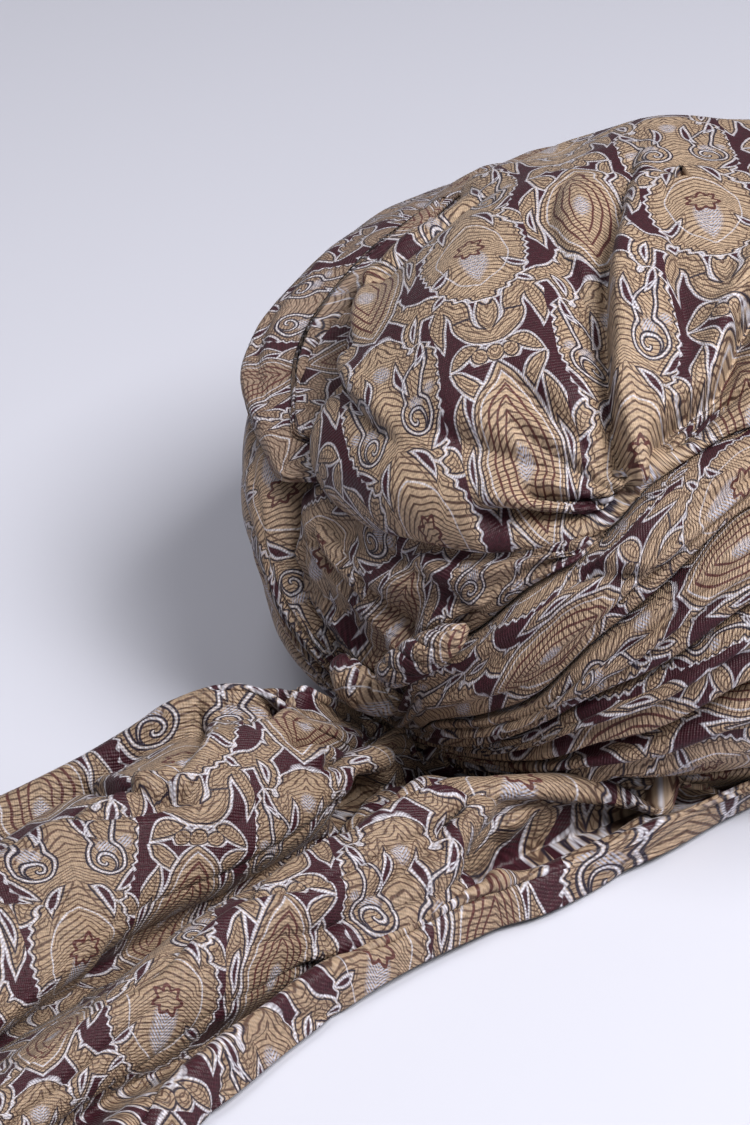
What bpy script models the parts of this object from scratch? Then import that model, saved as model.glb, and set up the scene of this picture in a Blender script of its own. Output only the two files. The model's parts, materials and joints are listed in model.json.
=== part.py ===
# Wound brocade turban with a free tail, lying on a surface as it does when nobody wears it.
# Metres. The front of the turban is -Y, the gather and the tail are at +Y, up is +Z.
# The origin is the centre of the head opening, on the plane that the turban rests on.
# Azimuth is counted in degrees from the front, through +X, to the back at 180.
import math

import bmesh
import bpy
from mathutils import Vector

# Head opening and the wound body
OPENING_WIDTH = 0.164
OPENING_LENGTH = 0.190
BODY_HEIGHT = 0.146
WIDEST_HEIGHT = 0.050
RIM_WALL = 0.012
BODY_SWELL = 0.030
CROWN_CLOTH = 0.003
PIECE_GAP = 0.0004

# Folds of the wraps and the crown
FOLD_SWELL = 0.0045
RIM_FOLD_SWELL = 0.0015
LIP_SWELL = 0.011
FOLD_GROOVE = 0.0018
POUCH_SWELL = 0.005
PLEAT_DEPTH = 0.007
PLEAT_WIDTH = 0.006
GATHER_ROLL_RADIUS = 0.0048

# The free tail
TAIL_LENGTH = 0.184
TAIL_WIDTH = 0.160
TAIL_FOLD_HEIGHT = 0.043
TAIL_CLOTH = 0.0025

# Fullness of the body's outline below and above its widest height; 2 is a quarter ellipse
LOWER_POWER = 1.6
UPPER_HEIGHT_POWER = 2.3
UPPER_RADIUS_POWER = 2.15
# How much narrower the head opening would be at the full height, as a share of its width
NECK_TAPER = 0.10

# Heights of the edges between the wraps, as shares of BODY_HEIGHT, a row for each azimuth.
# A fan between top and fan, or a roll between fan and cap, is there only where it has a height.
# pouch is how far the crown stands out above its lower edge, as a share of POUCH_SWELL,
# and lip is how far the outer side roll stands out, as a share of LIP_SWELL.
EDGE_COLUMNS = ("azimuth", "rim", "low", "mid", "high", "top", "fan", "roll", "cap", "pouch", "lip")
EDGE_ROWS = (
    (0, 0.12, 0.30, 0.46, 0.60, 0.71, 0.71, 0.765, 0.82, 0.0, 0.3),
    (45, 0.12, 0.29, 0.45, 0.59, 0.70, 0.70, 0.765, 0.83, 0.0, 0.5),
    (90, 0.11, 0.27, 0.41, 0.55, 0.66, 0.66, 0.77, 0.85, -0.3, 0.9),
    (112, 0.105, 0.25, 0.38, 0.51, 0.62, 0.62, 0.75, 0.83, -0.8, 1.0),
    (130, 0.10, 0.24, 0.36, 0.48, 0.59, 0.59, 0.655, 0.725, -1.2, 0.7),
    (148, 0.095, 0.21, 0.33, 0.45, 0.58, 0.58, 0.64, 0.705, -0.8, 0.35),
    (155, 0.09, 0.19, 0.30, 0.41, 0.53, 0.55, 0.61, 0.67, 0.0, 0.25),
    (158, 0.085, 0.165, 0.26, 0.36, 0.465, 0.56, 0.595, 0.62, 0.5, 0.2),
    (161, 0.08, 0.14, 0.22, 0.30, 0.39, 0.565, 0.58, 0.585, 0.7, 0.1),
    (165, 0.075, 0.12, 0.18, 0.25, 0.32, 0.57, 0.574, 0.574, 0.8, 0.0),
    (170, 0.07, 0.10, 0.14, 0.185, 0.235, 0.575, 0.575, 0.575, 0.9, 0.0),
    (175, 0.065, 0.085, 0.105, 0.125, 0.15, 0.58, 0.58, 0.58, 1.0, 0.0),
    (180, 0.065, 0.09, 0.115, 0.15, 0.23, 0.59, 0.59, 0.59, 1.0, 0.0),
    (184, 0.075, 0.10, 0.135, 0.20, 0.345, 0.595, 0.595, 0.595, 1.0, 0.0),
    (190, 0.09, 0.12, 0.165, 0.24, 0.42, 0.60, 0.60, 0.60, 1.0, 0.0),
    (197, 0.095, 0.15, 0.23, 0.30, 0.53, 0.61, 0.61, 0.61, 0.8, 0.0),
    (205, 0.10, 0.21, 0.33, 0.44, 0.61, 0.63, 0.63, 0.63, 0.4, 0.0),
    (211, 0.10, 0.25, 0.38, 0.52, 0.69, 0.69, 0.69, 0.69, 0.0, 0.0),
    (224, 0.11, 0.35, 0.505, 0.665, 0.76, 0.76, 0.76, 0.76, 0.0, 0.0),
    (240, 0.115, 0.38, 0.56, 0.71, 0.79, 0.79, 0.79, 0.79, 0.0, 0.0),
    (260, 0.12, 0.38, 0.56, 0.70, 0.775, 0.775, 0.805, 0.835, 0.0, 0.1),
    (300, 0.12, 0.34, 0.52, 0.665, 0.745, 0.745, 0.79, 0.835, 0.0, 0.2),
)

# Stations round the body, finer at the back where the wraps draw together
BACK_START, BACK_END, BACK_STEP, FRONT_STEP = 110, 230, 5, 12

# Pleats pressed into the crown, each a line over its surface from the tuck at the back:
# azimuth and height share of the points it passes, and its depth as a share of PLEAT_DEPTH
CROWN_PLEATS = (
    ("over_the_top", 1.0, ((210, 0.69), (208, 0.76), (203, 0.85), (199, 0.93), (188, 0.975),
                           (165, 0.995), (77, 0.999), (46, 0.975))),
    ("beside_it", 0.9, ((211, 0.70), (213, 0.77), (219, 0.84), (227, 0.91), (240, 0.965), (290, 0.99))),
    ("right_side", 0.6, ((222, 0.78), (245, 0.85), (275, 0.90), (300, 0.93))),
    ("low_tuck", 0.7, ((210, 0.69), (205, 0.70), (200, 0.705), (194, 0.70))),
    ("left_side", 0.6, ((128, 0.80), (138, 0.83), (148, 0.81), (153, 0.76))),
)

# Short rolls at the gather: azimuth and height share of both ends
GATHER_ROLLS = (
    ("gather_roll", (190, 0.45), (179, 0.30)),
    ("gather_tuck", (179, 0.215), (172, 0.29)),
)

# The tail's folds, from its far edge to its near edge. Each row gives where the fold starts
# under the rim, as an azimuth and a height, then its place across and its height at each station.
# Places across are shares of TAIL_WIDTH, heights are shares of TAIL_FOLD_HEIGHT.
TAIL_STATIONS = (0.055, 0.19, 0.355, 0.545, 0.76, 1.0)
TAIL_FOLDS = (
    ("far_edge", 168, 0.05, (0.21, 0.375, 0.50, 0.61, 0.65, 0.66),
     (0.05, 0.05, 0.05, 0.05, 0.05, 0.05)),
    ("far_ridge", 171, 0.40, (0.13, 0.26, 0.38, 0.48, 0.53, 0.55),
     (0.80, 0.93, 0.60, 0.42, 0.38, 0.33)),
    ("far_crease", 174, 0.36, (0.10, 0.20, 0.31, 0.40, 0.45, 0.48),
     (0.70, 0.82, 0.52, 0.36, 0.31, 0.26)),
    ("broad_crest", 177, 0.38, (0.05, 0.11, 0.14, 0.19, 0.26, 0.31),
     (0.66, 0.93, 0.91, 0.78, 0.65, 0.51)),
    ("broad_edge", 180, 0.30, (0.01, -0.01, 0.0, 0.035, 0.045, 0.055),
     (0.48, 0.49, 0.47, 0.47, 0.40, 0.33)),
    ("first_valley", 184, 0.16, (0.01, -0.01, 0.005, 0.035, 0.045, 0.055),
     (0.14, 0.12, 0.12, 0.12, 0.12, 0.12)),
    ("second_rise", 196, 0.14, (-0.14, -0.125, -0.094, -0.075, -0.075, -0.062),
     (0.52, 0.58, 0.53, 0.51, 0.47, 0.40)),
    ("second_crest", 213, 0.33, (-0.275, -0.24, -0.21, -0.175, -0.14, -0.125),
     (0.68, 0.70, 0.65, 0.63, 0.58, 0.47)),
    ("second_edge", 218, 0.26, (-0.31, -0.32, -0.27, -0.225, -0.19, -0.175),
     (0.42, 0.32, 0.30, 0.30, 0.28, 0.26)),
    ("second_valley", 222, 0.09, (-0.34, -0.35, -0.285, -0.24, -0.205, -0.19),
     (0.12, 0.20, 0.13, 0.12, 0.12, 0.12)),
    ("near_ridge", 230, 0.30, (-0.40, -0.345, -0.295, -0.27, -0.275, -0.28),
     (0.28, 0.30, 0.24, 0.28, 0.28, 0.23)),
    ("near_edge", 235, 0.06, (-0.435, -0.37, -0.32, -0.31, -0.315, -0.32),
     (0.05, 0.05, 0.05, 0.05, 0.05, 0.05)),
)
TAIL_SUBDIVISIONS = 3
TAIL_RUNNING_ROOM = 0.0008

# Pieces that stop before they meet themselves: azimuths of both ends, counted on past 360
OPEN_PIECES = {"back_fan": (155, 205), "side_roll_outer": (254, 520), "side_roll_inner": (254, 515)}

# The wraps from the lowest up, with the edges below and above each
WRAPS = (
    ("base_wrap", None, "rim"),
    ("wrap_low", "rim", "low"),
    ("wrap_mid", "low", "mid"),
    ("wrap_high", "mid", "high"),
    ("wrap_top", "high", "top"),
    ("back_fan", "top", "fan"),
    ("side_roll_outer", "fan", "roll"),
    ("side_roll_inner", "roll", "cap"),
)

# Points over a wrap's width, how round it is, and how far it may stand out for its width
FOLD_SHARES = (0.0, 0.16, 0.5, 0.84, 1.0)
FOLD_ROUNDING = 0.6
FOLD_LIMIT = 0.3
LIP_LIMIT = 0.8
# Share of the lip that each side roll takes, by the edge below it
LIP_SHARES = {"fan": 1.0, "roll": 0.35}

# Rings of the crown: on the neck, and above its lower edge, with the pouch over the first of them
NECK_RINGS = (0.5, 1.0)
LEDGE_POINT = len(NECK_RINGS) + 1
CROWN_RINGS = 9
CROWN_LIP = 0.004
POUCH_PROFILE = (0.75, 1.0, 0.8, 0.4, 0.1)
PLEAT_STEPS = 4

# Rings and sides of a gather roll, how thin its ends are, and how finely its seat is felt for
ROLL_RINGS = 7
ROLL_SIDES = 10
ROLL_END = 0.45
SEAT_STEPS = 4

CLOTH_ROUGHNESS = 0.55
SHARP_ANGLE = 40

# Base colours, linear
CROWN_COLOR = (0.28, 0.21, 0.14)
TAIL_COLOR = (0.24, 0.18, 0.12)
WRAP_COLORS = {
    "base_wrap": (0.16, 0.12, 0.09),
    "wrap_low": (0.25, 0.19, 0.13),
    "wrap_mid": (0.28, 0.21, 0.15),
    "wrap_high": (0.25, 0.19, 0.13),
    "wrap_top": (0.28, 0.21, 0.15),
    "back_fan": (0.22, 0.17, 0.13),
    "side_roll_outer": (0.26, 0.20, 0.14),
    "side_roll_inner": (0.20, 0.15, 0.12),
    "gather_roll": (0.30, 0.22, 0.15),
    "gather_tuck": (0.22, 0.17, 0.13),
}


def remove_everything():
    for thing in list(bpy.data.objects):
        bpy.data.objects.remove(thing, do_unlink=True)


def cloth_material(name, color):
    material = bpy.data.materials.new(name)
    material.use_nodes = True
    shader = material.node_tree.nodes["Principled BSDF"]
    shader.inputs["Base Color"].default_value = (*color, 1.0)
    shader.inputs["Roughness"].default_value = CLOTH_ROUGHNESS
    shader.inputs["Metallic"].default_value = 0.0
    return material


def ellipse_radius(half_width, half_length, azimuth):
    angle = math.radians(azimuth)
    return 1.0 / math.hypot(math.sin(angle) / half_width, math.cos(angle) / half_length)


def opening_radius(azimuth):
    return ellipse_radius(OPENING_WIDTH / 2, OPENING_LENGTH / 2, azimuth)


def rim_radius(azimuth):
    return ellipse_radius(OPENING_WIDTH / 2 + RIM_WALL, OPENING_LENGTH / 2 + RIM_WALL, azimuth)


def body_radius(azimuth, height):
    if height < WIDEST_HEIGHT:
        below = 1.0 - max(height, 0.0) / WIDEST_HEIGHT
        return rim_radius(azimuth) + BODY_SWELL * (1.0 - below ** LOWER_POWER) ** (1.0 / LOWER_POWER)
    above = min((height - WIDEST_HEIGHT) / (BODY_HEIGHT - WIDEST_HEIGHT), 1.0)
    fullness = (1.0 - above ** UPPER_HEIGHT_POWER) ** (1.0 / UPPER_RADIUS_POWER)
    return (rim_radius(azimuth) + BODY_SWELL) * fullness


def neck_radius(azimuth, height):
    # outer face of the crown's cloth where it lines the head opening
    taper = 1.0 - NECK_TAPER * height / BODY_HEIGHT
    return opening_radius(azimuth) * taper + CROWN_CLOTH


def point_at(azimuth, radius, height):
    angle = math.radians(azimuth)
    return Vector((radius * math.sin(angle), -radius * math.cos(angle), height))


def smooth_between(xs, ys, x):
    # cubic curve through the rows that never overshoots them
    last = len(xs) - 1
    i = max(k for k in range(last) if xs[k] <= x)
    slopes = [(ys[k + 1] - ys[k]) / (xs[k + 1] - xs[k]) for k in range(last)]

    def tangent(k):
        before = slopes[max(k - 1, 0)]
        after = slopes[min(k, last - 1)]
        if before * after <= 0:
            return 0.0
        return 2 * before * after / (before + after)

    width = xs[i + 1] - xs[i]
    t = (x - xs[i]) / width
    return ((2 * t ** 3 - 3 * t ** 2 + 1) * ys[i] + (t ** 3 - 2 * t ** 2 + t) * width * tangent(i)
            + (3 * t ** 2 - 2 * t ** 3) * ys[i + 1] + (t ** 3 - t ** 2) * width * tangent(i + 1))


def edge_value(name, azimuth):
    column = EDGE_COLUMNS.index(name)
    first, second, last = EDGE_ROWS[0], EDGE_ROWS[1], EDGE_ROWS[-1]
    xs = [last[0] - 360] + [row[0] for row in EDGE_ROWS] + [first[0] + 360, second[0] + 360]
    ys = [last[column]] + [row[column] for row in EDGE_ROWS] + [first[column], second[column]]
    return smooth_between(xs, ys, azimuth % 360)


def edge_height(name, azimuth):
    return edge_value(name, azimuth) * BODY_HEIGHT


def fold_swell(lower, azimuth, width):
    # how far a wrap stands out at its middle: little where it is narrow, most in the side rolls
    if lower is None:
        return RIM_FOLD_SWELL
    swell = min(FOLD_SWELL, FOLD_LIMIT * width)
    if lower in LIP_SHARES:
        swell += min(LIP_SWELL * edge_value("lip", azimuth), LIP_LIMIT * width) * LIP_SHARES[lower]
    return swell


def fold_radius(azimuth, height, bottom, top, swell):
    share = (height - bottom) / (top - bottom)
    rounding = max(math.sin(math.pi * share), 0.0) ** FOLD_ROUNDING
    return body_radius(azimuth, height) - FOLD_GROOVE + (FOLD_GROOVE + swell) * rounding


def outer_radius(azimuth, height):
    # outside of whichever wrap lies at this height
    for _name, lower, upper in WRAPS:
        bottom = edge_height(lower, azimuth) if lower else 0.0
        top = edge_height(upper, azimuth)
        if bottom <= height < top:
            swell = fold_swell(lower, azimuth, top - bottom)
            return fold_radius(azimuth, height, bottom, top, swell)
    return body_radius(azimuth, height)


def station_list():
    back = list(range(BACK_START, BACK_END, BACK_STEP))
    front_count = round((360 - (BACK_END - BACK_START)) / FRONT_STEP)
    front_step = (360 - (BACK_END - BACK_START)) / front_count
    return back + [BACK_END + k * front_step for k in range(front_count)]


def stations_between(start, end):
    both_turns = [turn + azimuth for turn in (0, 360) for azimuth in station_list()]
    return [azimuth for azimuth in both_turns if start <= azimuth <= end]


def add_strip(bm, left, right):
    # two sections side by side; each quad is split from its inner corner to its outer one,
    # so that faces that meet across a gap are split alike
    for j in range(len(left) - 1):
        a, b, c, d = left[j], right[j], right[j + 1], left[j + 1]
        reach = [math.hypot(v.co.x, v.co.y) for v in (a, b, c, d)]
        if reach[2] + reach[3] >= reach[0] + reach[1]:
            bm.faces.new((a, b, c))
            bm.faces.new((a, c, d))
        else:
            bm.faces.new((a, b, d))
            bm.faces.new((b, c, d))


def finish_piece(bm, name, color, parent):
    bmesh.ops.recalc_face_normals(bm, faces=bm.faces)
    mesh = bpy.data.meshes.new(name)
    bm.to_mesh(mesh)
    bm.free()
    mesh.shade_smooth()
    mesh.set_sharp_from_angle(angle=math.radians(SHARP_ANGLE))
    piece = bpy.data.objects.new(name, mesh)
    mesh.materials.append(cloth_material(name + "_cloth", color))
    bpy.context.collection.objects.link(piece)
    piece.parent = parent
    return piece


def wrap_section(azimuth, lower, upper):
    bottom = edge_height(lower, azimuth) + PIECE_GAP / 2 if lower else 0.0
    top = edge_height(upper, azimuth) - PIECE_GAP / 2
    swell = fold_swell(lower, azimuth, top - bottom)
    section = [(neck_radius(azimuth, bottom) + PIECE_GAP, bottom)]
    for share in FOLD_SHARES:
        height = bottom + (top - bottom) * share
        radius = fold_radius(azimuth, height, bottom, top, swell)
        if lower is None and share == 0.0:
            radius = rim_radius(azimuth)
        section.append((radius, height))
    section.append((neck_radius(azimuth, top) + PIECE_GAP, top))
    return [point_at(azimuth, radius, height) for radius, height in section]


def make_wrap(name, lower, upper, parent):
    bm = bmesh.new()
    span = OPEN_PIECES.get(name)
    azimuths = stations_between(*span) if span else station_list()
    rings = []
    for azimuth in azimuths:
        ring = [bm.verts.new(point) for point in wrap_section(azimuth, lower, upper)]
        rings.append(ring + ring[:1])
    for left, right in zip(rings, rings[1:]):
        add_strip(bm, left, right)
    if span:
        bm.faces.new(rings[0][:-1])
        bm.faces.new(rings[-1][:-1])
    else:
        add_strip(bm, rings[-1], rings[0])
    return finish_piece(bm, name, WRAP_COLORS[name], parent)


def crown_outline(azimuth):
    ledge = edge_height("cap", azimuth) + PIECE_GAP
    outline = [(neck_radius(azimuth, PIECE_GAP), PIECE_GAP)]
    outline += [(neck_radius(azimuth, ledge * share), ledge * share) for share in NECK_RINGS]
    outline.append((body_radius(azimuth, ledge) - FOLD_GROOVE, ledge))
    upper_height = BODY_HEIGHT - WIDEST_HEIGHT
    start = (ledge + CROWN_LIP - WIDEST_HEIGHT) / upper_height
    start_angle = math.asin(start ** (UPPER_HEIGHT_POWER / 2))
    widest = rim_radius(azimuth) + BODY_SWELL
    pouch = edge_value("pouch", azimuth) * POUCH_SWELL
    for k in range(CROWN_RINGS):
        angle = start_angle + (math.pi / 2 - start_angle) * k / CROWN_RINGS
        radius = widest * math.cos(angle) ** (2 / UPPER_RADIUS_POWER)
        height = WIDEST_HEIGHT + upper_height * math.sin(angle) ** (2 / UPPER_HEIGHT_POWER)
        radius += pouch * POUCH_PROFILE[k] if k < len(POUCH_PROFILE) else 0.0
        outline.append((radius, height))
    return outline


def section_normals(outline):
    normals = []
    path = outline + [(0.0, BODY_HEIGHT)]
    for j in range(len(outline)):
        sides = []
        for first, second in ((j - 1, j), (j, j + 1)):
            if first < 0:
                continue
            run = path[second][0] - path[first][0]
            rise = path[second][1] - path[first][1]
            length = math.hypot(run, rise)
            sides.append((rise / length, -run / length))
        if len(sides) == 1:
            sides *= 2
        turn = 1.0 + sides[0][0] * sides[1][0] + sides[0][1] * sides[1][1]
        normals.append(((sides[0][0] + sides[1][0]) / turn, (sides[0][1] + sides[1][1]) / turn))
    return normals


def pleat_points():
    points = []
    for _name, depth, path in CROWN_PLEATS:
        for (azimuth, height), (next_azimuth, next_height) in zip(path, path[1:]):
            for step in range(PLEAT_STEPS):
                share = step / PLEAT_STEPS
                at = azimuth + (next_azimuth - azimuth) * share
                level = (height + (next_height - height) * share) * BODY_HEIGHT
                points.append((point_at(at, body_radius(at, level), level), depth))
    return points


def pleat_depth(point, pleats):
    depth = 0.0
    for on_pleat, share in pleats:
        distance = (point - on_pleat).length / PLEAT_WIDTH
        depth = max(depth, share * math.exp(-distance ** 2))
    return depth * PLEAT_DEPTH


def make_crown(parent):
    bm = bmesh.new()
    pleats = pleat_points()
    outer_rings, inner_rings = [], []
    for azimuth in station_list():
        outline = crown_outline(azimuth)
        outer, inner = [], []
        for j, ((radius, height), normal) in enumerate(zip(outline, section_normals(outline))):
            depth = pleat_depth(point_at(azimuth, radius, height), pleats) if j > LEDGE_POINT else 0.0
            unit = math.hypot(*normal)
            radius -= depth * normal[0] / unit
            if j > LEDGE_POINT:
                height = max(height - depth * normal[1] / unit, outline[LEDGE_POINT + 1][1])
            outer.append(bm.verts.new(point_at(azimuth, radius, height)))
            inside = CROWN_CLOTH * normal[0], CROWN_CLOTH * normal[1]
            lift = 0.0 if j == 0 else inside[1]
            inner.append(bm.verts.new(point_at(azimuth, radius - inside[0], height - lift)))
        outer_rings.append(outer)
        inner_rings.append(inner)
    tops = [bm.verts.new((0.0, 0.0, height)) for height in (BODY_HEIGHT, BODY_HEIGHT - CROWN_CLOTH)]
    count = len(outer_rings)
    for i in range(count):
        after = (i + 1) % count
        for rings, top in ((outer_rings, tops[0]), (inner_rings, tops[1])):
            add_strip(bm, rings[i], rings[after])
            bm.faces.new((rings[i][-1], rings[after][-1], top))
        add_strip(bm, (outer_rings[i][0], inner_rings[i][0]), (outer_rings[after][0], inner_rings[after][0]))
    return finish_piece(bm, "crown", CROWN_COLOR, parent)


def seat_radius(azimuth, height, radius):
    # how far out the centre of a ball of this radius lies when it touches the wraps
    reach = 0.0
    for i in range(-SEAT_STEPS, SEAT_STEPS + 1):
        for j in range(-SEAT_STEPS, SEAT_STEPS + 1):
            aside, lift = radius * i / SEAT_STEPS, radius * j / SEAT_STEPS
            inside = radius ** 2 - aside ** 2 - lift ** 2
            if inside >= 0.0:
                turn = math.degrees(aside / body_radius(azimuth, height))
                reach = max(reach, outer_radius(azimuth + turn, height + lift) + math.sqrt(inside))
    return reach


def make_gather_roll(name, start, end, parent):
    # a short rolled fold laid over the wraps where they draw together
    bm = bmesh.new()
    rings = []
    for k in range(ROLL_RINGS):
        share = k / (ROLL_RINGS - 1)
        azimuth = start[0] + (end[0] - start[0]) * share
        height = (start[1] + (end[1] - start[1]) * share) * BODY_HEIGHT
        fullness = math.sqrt(max(math.sin(math.pi * share), 0.0))
        radius = GATHER_ROLL_RADIUS * (ROLL_END + (1.0 - ROLL_END) * fullness)
        centre = point_at(azimuth, seat_radius(azimuth, height, radius) + PIECE_GAP, height)
        angle = math.radians(azimuth)
        outward = Vector((math.sin(angle), -math.cos(angle), 0.0))
        rings.append((centre, radius, outward))
    loops = []
    for k, (centre, radius, outward) in enumerate(rings):
        ahead = rings[min(k + 1, ROLL_RINGS - 1)][0] - rings[max(k - 1, 0)][0]
        across = ahead.cross(outward).normalized()
        away = across.cross(ahead).normalized()
        loop = []
        for side in range(ROLL_SIDES):
            turn = 2 * math.pi * side / ROLL_SIDES
            loop.append(bm.verts.new(centre + radius * (math.cos(turn) * across + math.sin(turn) * away)))
        loops.append(loop + loop[:1])
    for left, right in zip(loops, loops[1:]):
        for j in range(ROLL_SIDES):
            bm.faces.new((left[j], right[j], right[j + 1], left[j + 1]))
    bm.faces.new(loops[0][:-1])
    bm.faces.new(loops[-1][:-1])
    return finish_piece(bm, name, WRAP_COLORS[name], parent)


def tail_controls():
    back = OPENING_LENGTH / 2 + RIM_WALL + BODY_SWELL
    lines = []
    for _name, azimuth, height, across, heights in TAIL_FOLDS:
        level = max(height * TAIL_FOLD_HEIGHT, TAIL_CLOTH / 2)
        start = outer_radius(azimuth, level) + PIECE_GAP + TAIL_CLOTH / 2
        line = [point_at(azimuth, start, level)]
        for along, side, share in zip(TAIL_STATIONS, across, heights):
            line.append(Vector((side * TAIL_WIDTH, back + along * TAIL_LENGTH, share * TAIL_FOLD_HEIGHT)))
        lines.append(line)
    return lines


def curve_through(points, pieces):
    # a smooth curve through the points, with so many pieces between each two
    curve = []
    for k in range(len(points) - 1):
        before = points[k - 1] if k else points[0] * 2 - points[1]
        after = points[k + 2] if k + 2 < len(points) else points[-1] * 2 - points[-2]
        start, end = points[k], points[k + 1]
        for step in range(pieces):
            t = step / pieces
            curve.append(0.5 * (2 * start + (end - before) * t
                                + (2 * before - 5 * start + 4 * end - after) * t ** 2
                                + (3 * start - before - 3 * end + after) * t ** 3))
    return curve + [points[-1].copy()]


def clear_of_wraps(point):
    point.z = max(point.z, TAIL_CLOTH / 2)
    azimuth = math.degrees(math.atan2(point.x, -point.y)) % 360
    reach = math.hypot(point.x, point.y)
    least = outer_radius(azimuth, point.z) + PIECE_GAP + TAIL_CLOTH / 2 + TAIL_RUNNING_ROOM
    if reach < least:
        point.x *= least / reach
        point.y *= least / reach
    return point


def make_tail(parent):
    along = [curve_through(line, TAIL_SUBDIVISIONS) for line in tail_controls()]
    grid = [curve_through([line[i] for line in along], TAIL_SUBDIVISIONS) for i in range(len(along[0]))]
    grid = [[clear_of_wraps(point) for point in row] for row in grid]
    rows, columns = len(grid), len(grid[0])
    bm = bmesh.new()
    tops, bottoms = [], []
    for i in range(rows):
        top_row, bottom_row = [], []
        for j in range(columns):
            ahead = grid[min(i + 1, rows - 1)][j] - grid[max(i - 1, 0)][j]
            aside = grid[i][max(j - 1, 0)] - grid[i][min(j + 1, columns - 1)]
            normal = aside.cross(ahead).normalized()
            half = normal * (TAIL_CLOTH / 2)
            top_row.append(bm.verts.new(grid[i][j] + half))
            low = grid[i][j] - half
            low.z = max(low.z, 0.0)
            bottom_row.append(bm.verts.new(low))
        tops.append(top_row)
        bottoms.append(bottom_row)
    for sheet in (tops, bottoms):
        for lower, upper in zip(sheet, sheet[1:]):
            for j in range(columns - 1):
                bm.faces.new((lower[j], upper[j], upper[j + 1]))
                bm.faces.new((lower[j], upper[j + 1], lower[j + 1]))
    top_edges = [tops[0], tops[-1], [row[0] for row in tops], [row[-1] for row in tops]]
    bottom_edges = [bottoms[0], bottoms[-1], [row[0] for row in bottoms], [row[-1] for row in bottoms]]
    for upper, lower in zip(top_edges, bottom_edges):
        for k in range(len(upper) - 1):
            bm.faces.new((upper[k], upper[k + 1], lower[k + 1], lower[k]))
    return finish_piece(bm, "tail", TAIL_COLOR, parent)


def build_turban():
    remove_everything()
    turban = bpy.data.objects.new("turban", None)
    bpy.context.collection.objects.link(turban)
    make_crown(turban)
    for name, lower, upper in WRAPS:
        make_wrap(name, lower, upper, turban)
    for name, start, end in GATHER_ROLLS:
        make_gather_roll(name, start, end, turban)
    make_tail(turban)


build_turban()
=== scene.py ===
import json
import math

import bpy
import numpy as np
from mathutils import Matrix, Vector


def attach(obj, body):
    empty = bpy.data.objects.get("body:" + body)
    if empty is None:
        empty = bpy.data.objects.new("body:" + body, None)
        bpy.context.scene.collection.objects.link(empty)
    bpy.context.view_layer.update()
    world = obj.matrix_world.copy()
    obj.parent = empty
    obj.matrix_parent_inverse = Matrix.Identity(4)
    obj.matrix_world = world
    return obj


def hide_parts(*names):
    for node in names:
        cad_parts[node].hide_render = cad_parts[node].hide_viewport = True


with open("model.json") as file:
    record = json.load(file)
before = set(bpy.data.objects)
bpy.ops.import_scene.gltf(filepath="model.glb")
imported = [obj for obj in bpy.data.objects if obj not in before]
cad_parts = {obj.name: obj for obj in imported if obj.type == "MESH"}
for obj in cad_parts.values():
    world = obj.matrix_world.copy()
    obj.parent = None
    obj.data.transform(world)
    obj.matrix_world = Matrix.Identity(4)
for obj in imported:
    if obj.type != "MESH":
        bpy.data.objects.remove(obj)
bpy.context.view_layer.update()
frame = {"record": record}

# Everything is in metres in the frame's own axes, with the front of the turban at -Y and up at +Z.
# Azimuth runs in degrees from the front, through +X, to the back at 180.

print("turban: shape of the body")
body = {
    "openingWidth": 0.164,  # the head opening at the rim
    "openingLength": 0.190,
    "height": 0.146,
    "widestHeight": 0.050,
    "rimWall": 0.012,
    "swell": 0.030,  # how far the body stands out beyond its rim
    "lowerPower": 1.6,
    "upperHeightPower": 2.3,
    "upperRadiusPower": 2.15,
    "neckTaper": 0.10,
    "lining": 0.003,
    "gap": 0.0004,  # between neighbouring wraps
    "solidGroove": 0.0018,  # how the solids of the wraps are rounded, where the gather lies on them
    "solidPower": 0.6,
}

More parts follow.
